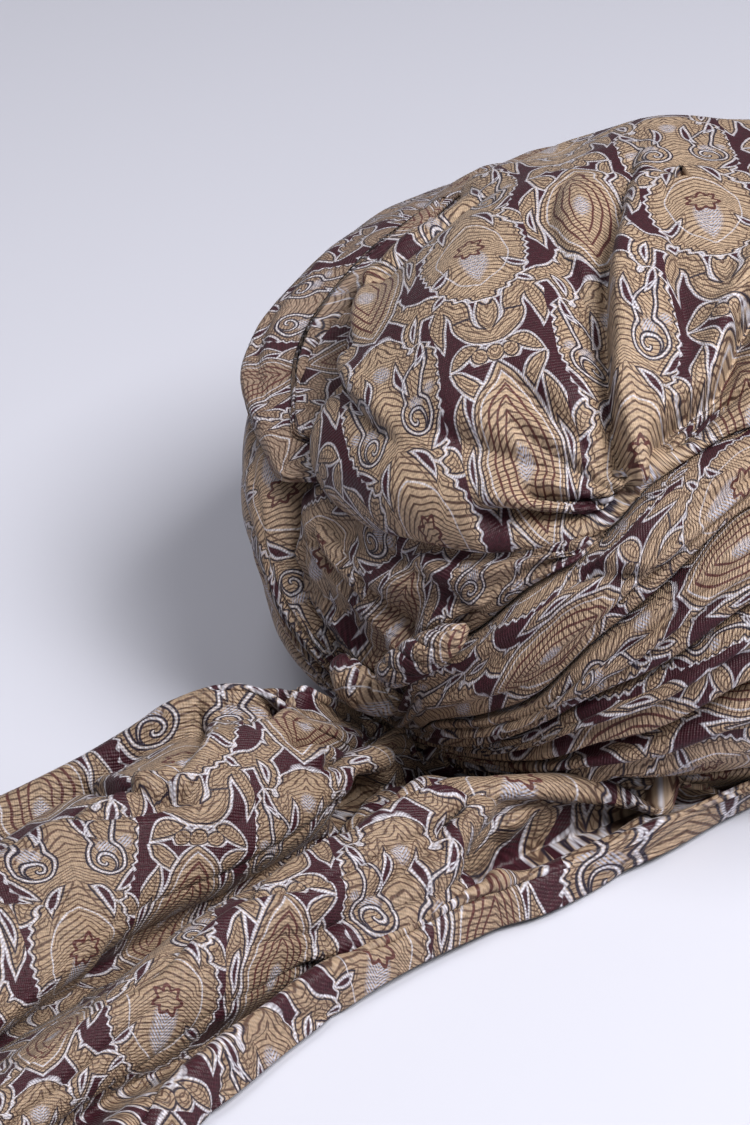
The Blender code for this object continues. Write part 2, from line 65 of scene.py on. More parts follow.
# heights of the edges between the wraps as shares of the body's height, a row for each azimuth;
# pouch and lip say how far the crown and the side rolls stand out there
edgeColumns = ("azimuth", "rim", "low", "mid", "high", "top", "fan", "roll", "cap", "pouch", "lip")
edgeRows = np.array((
    (0, 0.12, 0.30, 0.46, 0.60, 0.71, 0.71, 0.765, 0.82, 0.0, 0.3),
    (45, 0.12, 0.29, 0.45, 0.59, 0.70, 0.70, 0.765, 0.83, 0.0, 0.5),
    (90, 0.11, 0.27, 0.41, 0.55, 0.66, 0.66, 0.79, 0.85, -0.3, 0.7),
    (112, 0.105, 0.25, 0.38, 0.51, 0.62, 0.62, 0.785, 0.815, -0.6, 0.55),
    (118, 0.103, 0.246, 0.374, 0.503, 0.613, 0.613, 0.745, 0.775, -0.6, 0.6),
    (130, 0.10, 0.24, 0.36, 0.48, 0.59, 0.59, 0.672, 0.692, -0.7, 0.8),
    (148, 0.095, 0.21, 0.33, 0.45, 0.58, 0.58, 0.632, 0.650, -0.5, 0.45),
    (155, 0.09, 0.19, 0.30, 0.41, 0.53, 0.55, 0.605, 0.622, 0.0, 0.25),
    (158, 0.085, 0.165, 0.26, 0.36, 0.465, 0.56, 0.588, 0.598, 0.5, 0.2),
    (161, 0.08, 0.14, 0.22, 0.30, 0.39, 0.565, 0.58, 0.585, 0.7, 0.1),
    (165, 0.075, 0.12, 0.18, 0.25, 0.32, 0.57, 0.574, 0.574, 0.8, 0.0),
    (170, 0.07, 0.10, 0.14, 0.185, 0.235, 0.575, 0.575, 0.575, 0.9, 0.0),
    (175, 0.065, 0.085, 0.105, 0.125, 0.15, 0.58, 0.58, 0.58, 1.0, 0.0),
    (180, 0.065, 0.09, 0.115, 0.15, 0.23, 0.59, 0.59, 0.59, 1.0, 0.0),
    (184, 0.075, 0.10, 0.135, 0.20, 0.345, 0.595, 0.595, 0.595, 1.0, 0.0),
    (190, 0.09, 0.12, 0.165, 0.24, 0.42, 0.60, 0.60, 0.60, 1.0, 0.0),
    (197, 0.095, 0.15, 0.23, 0.30, 0.53, 0.61, 0.61, 0.61, 0.8, 0.0),
    (205, 0.10, 0.21, 0.33, 0.44, 0.61, 0.63, 0.63, 0.63, 0.4, 0.0),
    (211, 0.10, 0.25, 0.38, 0.52, 0.69, 0.69, 0.69, 0.69, 0.0, 0.0),
    (224, 0.11, 0.35, 0.505, 0.665, 0.76, 0.76, 0.76, 0.76, 0.0, 0.0),
    (240, 0.115, 0.38, 0.56, 0.71, 0.79, 0.79, 0.79, 0.79, 0.0, 0.0),
    (260, 0.12, 0.38, 0.56, 0.70, 0.775, 0.775, 0.805, 0.835, 0.0, 0.1),
    (300, 0.12, 0.34, 0.52, 0.665, 0.745, 0.745, 0.79, 0.835, 0.0, 0.2),
))
# azimuths of the mesh columns: close together where the photo looks, wider apart round the front
columnSteps = ((96.0, 166.0, 0.82), (166.0, 226.0, 0.4), (226.0, 258.0, 0.8), (258.0, 456.0, 2.0))


def edgeAt(name, azimuths):
    column = edgeColumns.index(name)
    xs = np.concatenate((edgeRows[-1:, 0] - 360, edgeRows[:, 0], edgeRows[:2, 0] + 360))
    ys = np.concatenate((edgeRows[-1:, column], edgeRows[:, column], edgeRows[:2, column]))
    x = np.asarray(azimuths, float) % 360
    steps = np.diff(xs)
    slopes = np.diff(ys) / steps
    before, after = np.concatenate((slopes[:1], slopes)), np.concatenate((slopes, slopes[-1:]))
    alike = before * after > 0
    tangents = np.where(alike, 2 * before * after / np.where(alike, before + after, 1), 0)
    i = np.clip(np.searchsorted(xs, x, side="right") - 1, 0, len(steps) - 1)
    t = (x - xs[i]) / steps[i]
    return ((2 * t ** 3 - 3 * t ** 2 + 1) * ys[i] + (t ** 3 - 2 * t ** 2 + t) * steps[i] * tangents[i]
            + (3 * t ** 2 - 2 * t ** 3) * ys[i + 1] + (t ** 3 - t ** 2) * steps[i] * tangents[i + 1])


def heightAt(name, azimuths):
    return edgeAt(name, azimuths) * body["height"]


def ellipseRadius(halfWidth, halfLength, azimuths):
    angle = np.radians(azimuths)
    return 1 / np.hypot(np.sin(angle) / halfWidth, np.cos(angle) / halfLength)


def rimRadius(azimuths):
    wall = body["rimWall"]
    return ellipseRadius(body["openingWidth"] / 2 + wall, body["openingLength"] / 2 + wall, azimuths)


def bodyRadius(azimuths, heights):
    widest = body["widestHeight"]
    below = np.clip(1 - heights / widest, 0, 1)
    above = np.clip((heights - widest) / (body["height"] - widest), 0, 1)
    flare = (1 - below ** body["lowerPower"]) ** (1 / body["lowerPower"])
    fullness = (1 - above ** body["upperHeightPower"]) ** (1 / body["upperRadiusPower"])
    lower = rimRadius(azimuths) + body["swell"] * flare
    upper = (rimRadius(azimuths) + body["swell"]) * fullness
    return np.where(heights < widest, lower, upper)


def neckRadius(azimuths, heights):
    opening = ellipseRadius(body["openingWidth"] / 2, body["openingLength"] / 2, azimuths)
    return opening * (1 - body["neckTaper"] * heights / body["height"]) + body["lining"]


def pointsAt(azimuths, radii, heights):
    angle = np.radians(azimuths)
    return np.stack(np.broadcast_arrays(radii * np.sin(angle), -radii * np.cos(angle), heights), axis=-1)


def columnAzimuths(first=None, last=None):
    parts = [np.linspace(start, end, round((end - start) / step), endpoint=False)
             for start, end, step in columnSteps]
    around = np.concatenate(parts)
    if first is None:
        return around
    turns = np.concatenate((around, around + 360, around + 720))
    inside = turns[(turns > first + 0.1) & (turns < last - 0.1)]
    return np.concatenate(([first], inside, [last]))


def smoothStep(x):
    t = np.clip(x, 0, 1)
    return t * t * (3 - 2 * t)


def between(azimuths, start, rise, end, fall):
    # 1 between two azimuths, with its rise after the first and its fall before the second
    turn = azimuths % 360
    return smoothStep((turn - start) / rise) * smoothStep((end - turn) / fall)


def lengthsAlong(points, axis):
    # how far each point lies from the first, along this axis
    steps = np.linalg.norm(np.diff(points, axis=axis), axis=-1)
    return np.insert(np.cumsum(steps, axis=axis), 0, 0, axis=axis)


def curveThrough(points, pieces):
    # a smooth curve through the points, along the first axis, with so many pieces between each two
    points = np.asarray(points, float)
    padded = np.concatenate((2 * points[:1] - points[1:2], points, 2 * points[-1:] - points[-2:-1]))
    curve = []
    for k in range(len(points) - 1):
        before, start, end, after = padded[k:k + 4]
        for t in np.arange(pieces) / pieces:
            curve.append(0.5 * (2 * start + (end - before) * t
                                + (2 * before - 5 * start + 4 * end - after) * t ** 2
                                + (3 * start - before - 3 * end + after) * t ** 3))
    return np.array(curve + [points[-1]])


def latticeNoise(places, seed):
    # smooth noise from -1 to 1 at places (..., 3), the same on every run
    size = 24
    table = np.random.default_rng(seed).random((size, size, size)) * 2 - 1
    cell = np.floor(places).astype(int)
    part = places - cell
    part = part * part * (3 - 2 * part)
    total = 0
    for corner in np.ndindex(2, 2, 2):
        weight = np.prod(np.where(corner, part, 1 - part), axis=-1)
        at = (cell + corner) % size
        total = total + weight * table[at[..., 0], at[..., 1], at[..., 2]]
    return total


def surfaceNormals(points, closed):
    if closed:
        across = np.roll(points, -1, axis=1) - np.roll(points, 1, axis=1)
    else:
        across = np.gradient(points, axis=1)
    normals = np.cross(across, np.gradient(points, axis=0))
    return normals / np.maximum(np.linalg.norm(normals, axis=-1, keepdims=True), 1e-12)


def clothMesh(name, points, cloth, closed=False, pole=None):
    # rows of points as one mesh; cloth holds each point's place on the flat cloth, with the first
    # column again at the end where the rows are closed; pole is a last point that the rows meet in
    rows, columns = points.shape[:2]
    spans = columns if closed else columns - 1
    i, j = (index.ravel() for index in np.indices((rows - 1, spans)))
    after = (j + 1) % columns
    faces = np.stack((i * columns + j, i * columns + after,
                      (i + 1) * columns + after, (i + 1) * columns + j), 1)
    wide = cloth.shape[1]
    corners = np.stack((i * wide + j, i * wide + j + 1, (i + 1) * wide + j + 1, (i + 1) * wide + j), 1)
    vertices, places = points.reshape(-1, 3), cloth.reshape(-1, 2)
    loops, uvs, sizes = faces.ravel(), places[corners.ravel()], np.full(len(faces), 4)
    if pole is not None:
        k = np.arange(spans)
        edge = (rows - 1) * columns
        fan = np.stack((edge + k, edge + (k + 1) % columns, np.full(spans, len(vertices))), 1)
        edge = (rows - 1) * wide
        tips = np.broadcast_to(pole[1], (spans, 2))
        fanPlaces = np.stack((places[edge + k], places[edge + k + 1], tips), 1)
        vertices = np.concatenate((vertices, [pole[0]]))
        loops = np.concatenate((loops, fan.ravel()))
        uvs = np.concatenate((uvs, fanPlaces.reshape(-1, 2)))
        sizes = np.concatenate((sizes, np.full(spans, 3)))
    mesh = bpy.data.meshes.new(name)
    mesh.vertices.add(len(vertices))
    mesh.vertices.foreach_set("co", vertices.astype(np.float32).ravel())
    mesh.loops.add(len(loops))
    mesh.loops.foreach_set("vertex_index", loops.astype(np.int32))
    mesh.polygons.add(len(sizes))
    mesh.polygons.foreach_set("loop_start", (np.cumsum(sizes) - sizes).astype(np.int32))
    mesh.update(calc_edges=True)
    layer = mesh.uv_layers.new(name="cloth")
    layer.data.foreach_set("uv", uvs.astype(np.float32).ravel())
    mesh.validate()
    mesh.shade_smooth()
    piece = bpy.data.objects.new(name, mesh)
    bpy.context.collection.objects.link(piece)
    return piece


def turnedCloth(cloth, lay):
    # where the pattern lies on the piece: turned by so many degrees, shifted and, with a fourth value, pulled
    angle = math.radians(lay[0])
    x = cloth[..., 0] * math.cos(angle) - cloth[..., 1] * math.sin(angle) + lay[1]
    y = cloth[..., 0] * math.sin(angle) + cloth[..., 1] * math.cos(angle) + lay[2]
    if len(lay) > 3:
        y = y / lay[3]  # longer along the motifs
    return np.stack((x, y), axis=-1)


def thicken(piece, cloth, offset=-1.0):
    solidify = piece.modifiers.new("thickness of the cloth", "SOLIDIFY")
    solidify.thickness = cloth
    solidify.offset = offset


def pieceName(node):
    first, *others = node.split("_")
    return first + "".join(word.capitalize() for word in others) + "Cloth"


def alongLine(cloth, line):
    # each place's distance to the line, the side that it lies on, and how far along the line it is
    best = np.full(cloth.shape[:-1], 1e9)
    side, along = np.zeros_like(best), np.zeros_like(best)
    passed = 0.0
    for start, end in zip(line, line[1:]):
        run = end - start
        length = max(math.hypot(*run), 1e-9)
        t = np.clip((cloth - start) @ run / length ** 2, 0, 1)
        off = cloth - (start + t[..., None] * run)
        distance = np.hypot(off[..., 0], off[..., 1])
        nearer = distance < best
        best = np.where(nearer, distance, best)
        side = np.where(nearer, np.sign(run[0] * off[..., 1] - run[1] * off[..., 0]), side)
        along = np.where(nearer, passed + t * length, along)
        passed += length
    return best, side, along, passed


pressedFold = {
    "steep": 0.42, "flat": 1.9,  # reach of its groove to the left and right of its line, in its widths
    "power": 1.25,
    "liftAt": 1.5, "liftReach": 1.3,  # where the cloth beside it stands up, in its widths
    "liftBehind": 0.15,  # the share of that on its flat side
}


def foldRelief(cloth, line, depth, width, lift, ends):
    # a fold pressed along a line on the cloth: a groove that is steeper on the left of the line,
    # where the cloth beside it stands up by lift
    distance, side, along, total = alongLine(cloth, curveThrough(line, 4))
    fade = smoothStep(along / max(ends[0], 1e-6)) * smoothStep((total - along) / max(ends[1], 1e-6))
    reach = np.where(side > 0, width * pressedFold["steep"], width * pressedFold["flat"])
    groove = -depth * np.exp(-(distance / reach) ** pressedFold["power"])
    away = (distance - pressedFold["liftAt"] * width) / (pressedFold["liftReach"] * width)
    beside = np.exp(-away ** 2) * np.where(side > 0, 1.0, pressedFold["liftBehind"])
    return fade * (groove + lift * beside)


foldEase = 1.03  # how much more area the folded cloth has than its flat cut


def flatSize(points, closed, width):
    # a cut of this width whose area is what the cloth has here, less the ease
    if closed:
        points = np.concatenate((points, points[:, :1]), axis=1)
    first, second = points[1:, 1:] - points[:-1, :-1], points[1:, :-1] - points[:-1, 1:]
    area = 0.5 * np.linalg.norm(np.cross(first, second), axis=-1).sum()
    return width, float(area / width / foldEase)


def softLimit(relief, least, most):
    # keeps relief between the two limits without a sharp bend
    return np.where(relief < 0, -least * np.tanh(-relief / least), most * np.tanh(relief / most))


print("turban: wraps, fan and side rolls")
wrapCloth = {
    "points": 34,  # over a wrap's outer face
    "roundness": 3.0,  # 2 is a round bulge, more is a flatter band with a tighter edge
    "swell": 0.0045,
    "rimSwell": 0.0015,
    "swellLimit": 0.3,  # of the wrap's width
    "lipSwell": 0.011,
    "lipLimit": 0.8,
    "lipShares": {"fan": 1.0, "roll": 0.35},
    "thickness": 0.0012,
    "legs": (0.1, 0.45, 0.8),  # how far out the tucked edges reach, from the lining to the outer face
    "ring": 0.13,  # radius at which the reach of the waves below is true
    "longWave": (0.055, 0.012, 0.0011),  # its reach round the body, its reach across, its height
    "shortWave": (0.020, 0.0055, 0.0007),
    "creaseWave": (0.085, 0.013, 0.0017, 0.16),  # and how narrow its creases are
    "seenFrom": (170, 15, 250, 15),  # azimuths of the side that the photo shows
    "calm": 0.75,  # share of the loose creases that is left out there
    "edgeFade": 0.12,  # share of the width over which the relief fades out at both edges
    "gatherAt": (150, 20, 226, 30),  # azimuths between which the wraps are pleated together
    "gatherPleats": 2.5,  # over a wrap's width
    "gatherPleat": (0.0016, 0.08),  # their height, and its limit as a share of the width
    "narrow": 0.012,  # a wrap narrower than this has less relief
    "proud": {  # azimuth, spread, how far it stands out
        "wrap_top": (153.0, 11.0, 0.004), "side_roll_inner": (114.0, 24.0, -0.016),
        "back_fan": (182.0, 24.0, -0.006)},
    "recess": {"back_fan": (8.0, 0.055)},  # degrees in from its first end, share of the radius
    "endRecess": (3.0, 0.05),  # the same for the other pieces that stop
    "deepest": 0.009,
    "proudest": 0.004,
}

# node, edge below, edge above, both ends where it stops, groove at its edges,
# lay of the pattern (degrees, metres, metres) and its pressed folds:
# depth, width, lift, length of both tapers, then azimuth and share of the width along the fold
wrapPieces = (
    ("base_wrap", None, "rim", None, 0.003, (98, 0.02, 0.01), ()),
    ("wrap_low", "rim", "low", None, 0.006, (98, 0.0, 0.0), (
        (0.0032, 0.0016, 0.0012, (0.02, 0.02),
         ((190, 0.75), (196, 0.47), (202, 0.22), (210, 0.12), (222, 0.2))),
        (0.0026, 0.0014, 0.0010, (0.02, 0.02),
         ((203, 0.45), (211, 0.36), (218, 0.38), (228, 0.26), (245, 0.3))),
        (0.0022, 0.0015, 0.0008, (0.02, 0.03),
         ((200, 0.78), (212, 0.66), (226, 0.70), (250, 0.6))),
    )),
    ("wrap_mid", "low", "mid", None, 0.009, (95, 0.03, 0.02), (
        (0.0030, 0.0015, 0.0012, (0.02, 0.02),
         ((204, 0.16), (212, 0.10), (223, 0.16), (240, 0.1))),
        (0.0030, 0.0016, 0.0012, (0.02, 0.03),
         ((192, 0.55), (202, 0.62), (214, 0.55), (232, 0.62), (255, 0.5))),
    )),
    ("wrap_high", "mid", "high", None, 0.009, (92, 0.01, 0.045), (
        (0.0030, 0.0016, 0.0012, (0.02, 0.02),
         ((186, 0.4), (194, 0.38), (206, 0.22), (215, 0.42), (228, 0.40))),
        (0.0024, 0.0014, 0.0010, (0.02, 0.03),
         ((204, 0.62), (214, 0.74), (228, 0.68), (246, 0.75))),
    )),
    ("wrap_top", "high", "top", None, 0.009, (84, 0.02, 0.03), (
        (0.0034, 0.0017, 0.0014, (0.01, 0.02),
         ((200, 0.97), (206, 0.81), (211, 0.40), (217, 0.31), (230, 0.38))),
        (0.0026, 0.0015, 0.0010, (0.02, 0.02),
         ((190, 0.25), (194, 0.18), (201, 0.10), (208, 0.24), (216, 0.30))),
        (0.0024, 0.0016, 0.0010, (0.02, 0.03),
         ((214, 0.75), (224, 0.66), (240, 0.7), (262, 0.6))),
    )),
    ("back_fan", "top", "fan", (155.0, 205.0), 0.010, (28, 0.0, 0.03), (
        (0.0038, 0.0020, 0.0016, (0.002, 0.004),
         ((184, 0.04), (181, 0.37), (175, 0.67), (170, 0.75), (164, 0.86))),
        (0.0034, 0.0017, 0.0014, (0.004, 0.004),
         ((181, 0.30), (180, 0.42), (175, 0.60), (168, 0.60), (163, 0.72))),
        (0.0034, 0.0018, 0.0014, (0.003, 0.004),
         ((181, 0.10), (179, 0.29), (172, 0.38), (164, 0.25), (161, 0.40))),
        (0.0030, 0.0016, 0.0012, (0.003, 0.004),
         ((176, 0.10), (173, 0.26), (165, 0.19), (160, 0.10))),
        (0.0024, 0.0020, 0.0008, (0.006, 0.006),
         ((175, 0.93), (178, 0.87), (185, 0.62), (190, 0.30), (192, 0.08))),
        (0.0028, 0.0018, 0.0012, (0.003, 0.004),
         ((206, 0.45), (201, 0.50), (194, 0.24), (187, 0.14))),
    )),
    ("side_roll_outer", "fan", "roll", (254.0, 520.0), 0.011, (-6, 0.05, 0.02), (
        (0.0030, 0.0016, 0.0010, (0.02, 0.02),
         ((456, 0.60), (472, 0.55), (490, 0.5), (508, 0.45))),
    )),
    ("side_roll_inner", "roll", "cap", (254.0, 515.0), 0.015, (-10, 0.0, 0.06), (
        (0.0034, 0.0018, 0.0012, (0.02, 0.02),
         ((460, 0.40), (474, 0.45), (492, 0.55), (508, 0.5))),
    )),
)


def foldSwell(lower, azimuths, width):
    if lower is None:
        return wrapCloth["rimSwell"]
    swell = np.minimum(wrapCloth["swell"], wrapCloth["swellLimit"] * width)
    share = wrapCloth["lipShares"].get(lower, 0)
    lip = np.minimum(wrapCloth["lipSwell"] * edgeAt("lip", azimuths), wrapCloth["lipLimit"] * width)
    return swell + lip * share


def bandRounding(shares):
    power = wrapCloth["roundness"]
    return (1 - np.abs(2 * shares - 1) ** power) ** (1 / power)


def wrapGrid(azimuths, lower, upper, groove):
    # the wrap's section at each azimuth: in along its lower edge, over its face, in along its upper edge
    bottom = heightAt(lower, azimuths) + body["gap"] / 2 if lower else np.zeros_like(azimuths)
    top = heightAt(upper, azimuths) - body["gap"] / 2
    shares = 0.5 - 0.5 * np.cos(np.pi * np.linspace(0, 1, wrapCloth["points"]))[:, None]
    heights = bottom + (top - bottom) * shares
    deep = np.minimum(groove, 0.45 * (top - bottom) + 0.001)
    swell = foldSwell(lower, azimuths, top - bottom)
    radii = bodyRadius(azimuths, heights) - deep + (deep + swell) * bandRounding(shares)
    legs = []
    for edge, height in ((radii[0], bottom), (radii[-1], top)):
        neck = neckRadius(azimuths, height) + body["gap"]
        legs.append([(neck + (edge - neck) * reach, height) for reach in wrapCloth["legs"]])
    rows = legs[0] + list(zip(radii, heights)) + legs[1][::-1]
    radii, heights = (np.array(part) for part in zip(*rows))
    tucked = len(wrapCloth["legs"])
    shares = np.concatenate((np.zeros((tucked, 1)), shares, np.ones((tucked, 1))))
    return pointsAt(azimuths, radii, heights), shares, tucked


def clothOfWrap(points, azimuths, closed):
    # lengths along the middle of the wrap, counted from the back, and up its section from its middle
    middle = points.shape[0] // 2
    ring = np.concatenate((points, points[:, :1]), axis=1) if closed else points
    turns = np.concatenate((azimuths, azimuths[:1] + 360)) if closed else azimuths
    along = lengthsAlong(ring[middle], 0)
    along -= np.interp(180 if turns[0] <= 180 else 540, turns, along)
    up = lengthsAlong(ring, 0)
    return np.stack(np.broadcast_arrays(along, up - up[middle]), axis=-1), turns


def clothAt(cloth, turns, shares, places):
    # where places given by azimuth and share lie on the flat cloth
    line = []
    for azimuth, share in places:
        column = [np.interp(azimuth, turns, cloth[row, :, part])
                  for part in (0, 1) for row in range(len(shares))]
        column = np.array(column).reshape(2, -1)
        line.append([np.interp(share, shares, column[part]) for part in (0, 1)])
    return np.array(line)


def waves(points, cloth, seed):
    # soft waves that run round the body, and narrow creases between them
    angle = np.arctan2(points[..., 0], -points[..., 1])

    def wave(around, across, step):
        ring = wrapCloth["ring"] / around
        places = np.stack((ring * np.cos(angle), ring * np.sin(angle), cloth[..., 1] / across), axis=-1)
        return latticeNoise(places + 7, seed + step)

    total = 0
    for k, name in enumerate(("longWave", "shortWave")):
        around, across, height = wrapCloth[name]
        total = total + height * wave(around, across, k)
    around, across, depth, narrow = wrapCloth["creaseWave"]
    return total, -depth * np.exp(-(wave(around, across, 5) / narrow) ** 2)


def makeWrap(index, node, lower, upper, ends, groove, lay, folds):
    azimuths = columnAzimuths(*ends) if ends else columnAzimuths()
    closed = ends is None
    points, shares, tucked = wrapGrid(azimuths, lower, upper, groove)
    cloth, turns = clothOfWrap(points, azimuths, closed)
    here = cloth[:, :len(azimuths)]
    normals = surfaceNormals(points, closed)
    soft, creased = waves(points, here, 11 * index)
    relief = soft + creased * (1 - wrapCloth["calm"] * between(azimuths, *wrapCloth["seenFrom"]))
    width = here[-tucked - 1, :, 1] - here[tucked, :, 1]
    pleatHeight, pleatLimit = wrapCloth["gatherPleat"]
    pleat = np.sin(2 * np.pi * (shares * wrapCloth["gatherPleats"] + 0.3 * index))
    pleat = pleat * np.minimum(pleatHeight, pleatLimit * width)
    relief = relief + pleat * between(azimuths, *wrapCloth["gatherAt"])
    for depth, thin, lift, tapers, places in folds:
        line = clothAt(cloth, turns, shares[:, 0], places)
        relief = relief + foldRelief(here, line, depth, thin, lift, tapers)
    relief = softLimit(relief, wrapCloth["deepest"], wrapCloth["proudest"])
    relief *= (smoothStep(np.minimum(shares, 1 - shares) / wrapCloth["edgeFade"])
               * np.minimum(1, width / wrapCloth["narrow"]))
    points = points + normals * relief[..., None]
    if ends:
        reach, share = wrapCloth["recess"].get(node, wrapCloth["endRecess"])
        tuck = smoothStep((azimuths - ends[0]) / reach) * smoothStep((ends[1] - azimuths) / 3)
        points[..., :2] *= (1 - share * (1 - tuck))[:, None]
    if node in wrapCloth["proud"]:
        middle, spread, distance = wrapCloth["proud"][node]
        bump = np.exp(-((azimuths % 360 - middle) / spread) ** 2) * bandRounding(shares)
        points = points + distance * bump[..., None] * pointsAt(azimuths, 1.0, 0.0)
    points[..., 2] = np.maximum(points[..., 2], 0.0)
    piece = clothMesh(pieceName(node), points, turnedCloth(cloth, lay), closed)
    thicken(piece, wrapCloth["thickness"])
    return piece, flatSize(points, closed, float(np.mean(cloth[-1, :, 1] - cloth[0, :, 1])))


made = {}  # each node's piece and the size of its flat cloth
for index, row in enumerate(wrapPieces):
    made[row[0]] = makeWrap(index, *row)


print("turban: crown")
crownCloth = {
    "neckRows": 8, "ledgeRows": 5, "domeRows": 104,
    "rowPower": 1.25,  # above 1 the rows lie closer together low on the dome
    "fadeRows": 5,  # over which the relief starts at the edge of the dome
    "tuck": 0.004,  # how far in from that edge the cloth turns under
    "lipHeight": 0.012,  # the rounded lower edge of the dome
    "lipDepth": 0.009,
    "sideLip": (0.015, 0.012),  # more depth and height of it where the side rolls stand out
    "sideAt": (92, 14, 160, 12),
    "droop": (0.004, 0.014),  # how far that edge hangs over the fan at the back, and how high that reaches
    "pouch": 0.0065,
    "pouchProfile": ((0, 0.75), (0.012, 1.0), (0.024, 0.8), (0.037, 0.4), (0.050, 0.1), (0.062, 0)),
    "thickness": 0.0026,
    "wave": (0.030, 0.0017),  # its reach and its height
    "shortWave": (0.011, 0.0006),
    "calmTop": 0.014,  # the relief fades out this near to the top
    "deepest": 0.018,
    "proudest": 0.005,
    "lay": (135, 0.0976, 0.0424, 1.33),
    "cutWidth": 0.36,
}
# pleats pressed into the dome: depth, width, lift, both tapers, then azimuth and the distance in mm
# over the dome from its top
crownFolds = (
    (0.0150, 0.0034, 0.0050, (0.13, 0.001),
     ((46.1, 47), (129.4, 16), (191.1, 51), (199.3, 77), (204.5, 105), (207.5, 120), (209.8, 131))),
    (0.0150, 0.0032, 0.0046, (0.001, 0.05),
     ((209.8, 131), (211.1, 124), (212.4, 110), (221.8, 95), (230.7, 71), (250, 52), (290, 45))),
    (0.0080, 0.0024, 0.0028, (0.001, 0.02), ((210, 130), (213, 122), (216.5, 113), (221.4, 101), (232, 92))),
    (0.0105, 0.0026, 0.0036, (0.012, 0.001),
     ((193, 134), (201.6, 133), (204.9, 132.5), (209.6, 132))),
    (0.0120, 0.0028, 0.0036, (0.008, 0.001),
     ((189, 143), (193.9, 141), (199, 140), (203.6, 139), (208, 136))),
    (0.0070, 0.0028, 0.0024, (0.01, 0.01),
     ((118, 104), (121.7, 105), (133.1, 105), (145.1, 109), (152, 113))),
    (0.0050, 0.0060, 0.0018, (0.03, 0.01), ((180, 98), (192, 106), (201, 117), (208, 128))),
    (0.0042, 0.0050, 0.0016, (0.02, 0.01), ((176, 124), (190, 124), (200, 127), (207, 130))),
    (0.0040, 0.0060, 0.0016, (0.03, 0.02), ((100, 36), (150, 42), (188, 62), (205, 92))),
    (0.0046, 0.0050, 0.0018, (0.02, 0.03), ((218, 90), (216, 70), (214, 45), (200, 22))),
    (0.0044, 0.0050, 0.0018, (0.01, 0.03), ((130, 106), (128, 88), (118, 70), (104, 58))),
    (0.0036, 0.0022, 0.0016, (0.02, 0.004), ((186, 112), (194, 118), (202, 124), (208, 130))),
    (0.0036, 0.0020, 0.0016, (0.004, 0.02), ((210, 129), (209, 112), (207, 96), (206, 84))),
    (0.0040, 0.0026, 0.0016, (0.01, 0.02), ((140, 112), (150, 120), (164, 126), (178, 132))),
)
# places where the dome swells or sinks: azimuth, mm from its top, height, reach
crownSwells = (
    (38, 56, 0.0040, 0.015), (72, 62, -0.0032, 0.016), (100, 74, 0.0020, 0.014), (10, 58, 0.0022, 0.016),
    (182, 112, 0.0030, 0.014), (166, 92, 0.0016, 0.020), (205, 96, 0.0028, 0.012), (228, 104, 0.0030, 0.012),
)


def domeProfile(azimuths):
    # radius and height over the dome, in rows from the wraps' upper edge to the top
    ledge = heightAt("cap", azimuths) + body["gap"]
    upper = body["height"] - body["widestHeight"]
    start = np.arcsin(((ledge - body["widestHeight"]) / upper) ** (body["upperHeightPower"] / 2))
    rows = np.linspace(0, 1, crownCloth["domeRows"], endpoint=False)[:, None] ** crownCloth["rowPower"]
    angle = start + (math.pi / 2 - start) * rows
    radii = (rimRadius(azimuths) + body["swell"]) * np.cos(angle) ** (2 / body["upperRadiusPower"])
    heights = body["widestHeight"] + upper * np.sin(angle) ** (2 / body["upperHeightPower"])
    above, share = zip(*crownCloth["pouchProfile"])
    pouch = crownCloth["pouch"] * edgeAt("pouch", azimuths)
    radii = radii + pouch * np.interp(heights - ledge, above, share)
    side = between(azimuths, *crownCloth["sideAt"])
    reach = crownCloth["lipHeight"] + crownCloth["sideLip"][1] * side
    turned = np.clip(1 - (heights - ledge) / reach, 0, 1)
    deep = crownCloth["lipDepth"] + crownCloth["sideLip"][0] * side
    radii = radii - deep * (1 - np.sqrt(1 - turned ** 2))
    hang, hangReach = crownCloth["droop"]
    drop = hang * np.clip(edgeAt("pouch", azimuths), 0, 1)
    heights = heights - drop * smoothStep(1 - (heights - ledge) / hangReach)
    return radii, heights, ledge


def domePlaces(azimuths, distances):
    # where places on the dome lie on its flat cloth, from azimuths and mm from the top
    turns, reach = np.radians(azimuths), np.asarray(distances) / 1000
    return np.stack((reach * np.sin(turns), -reach * np.cos(turns)), axis=-1)


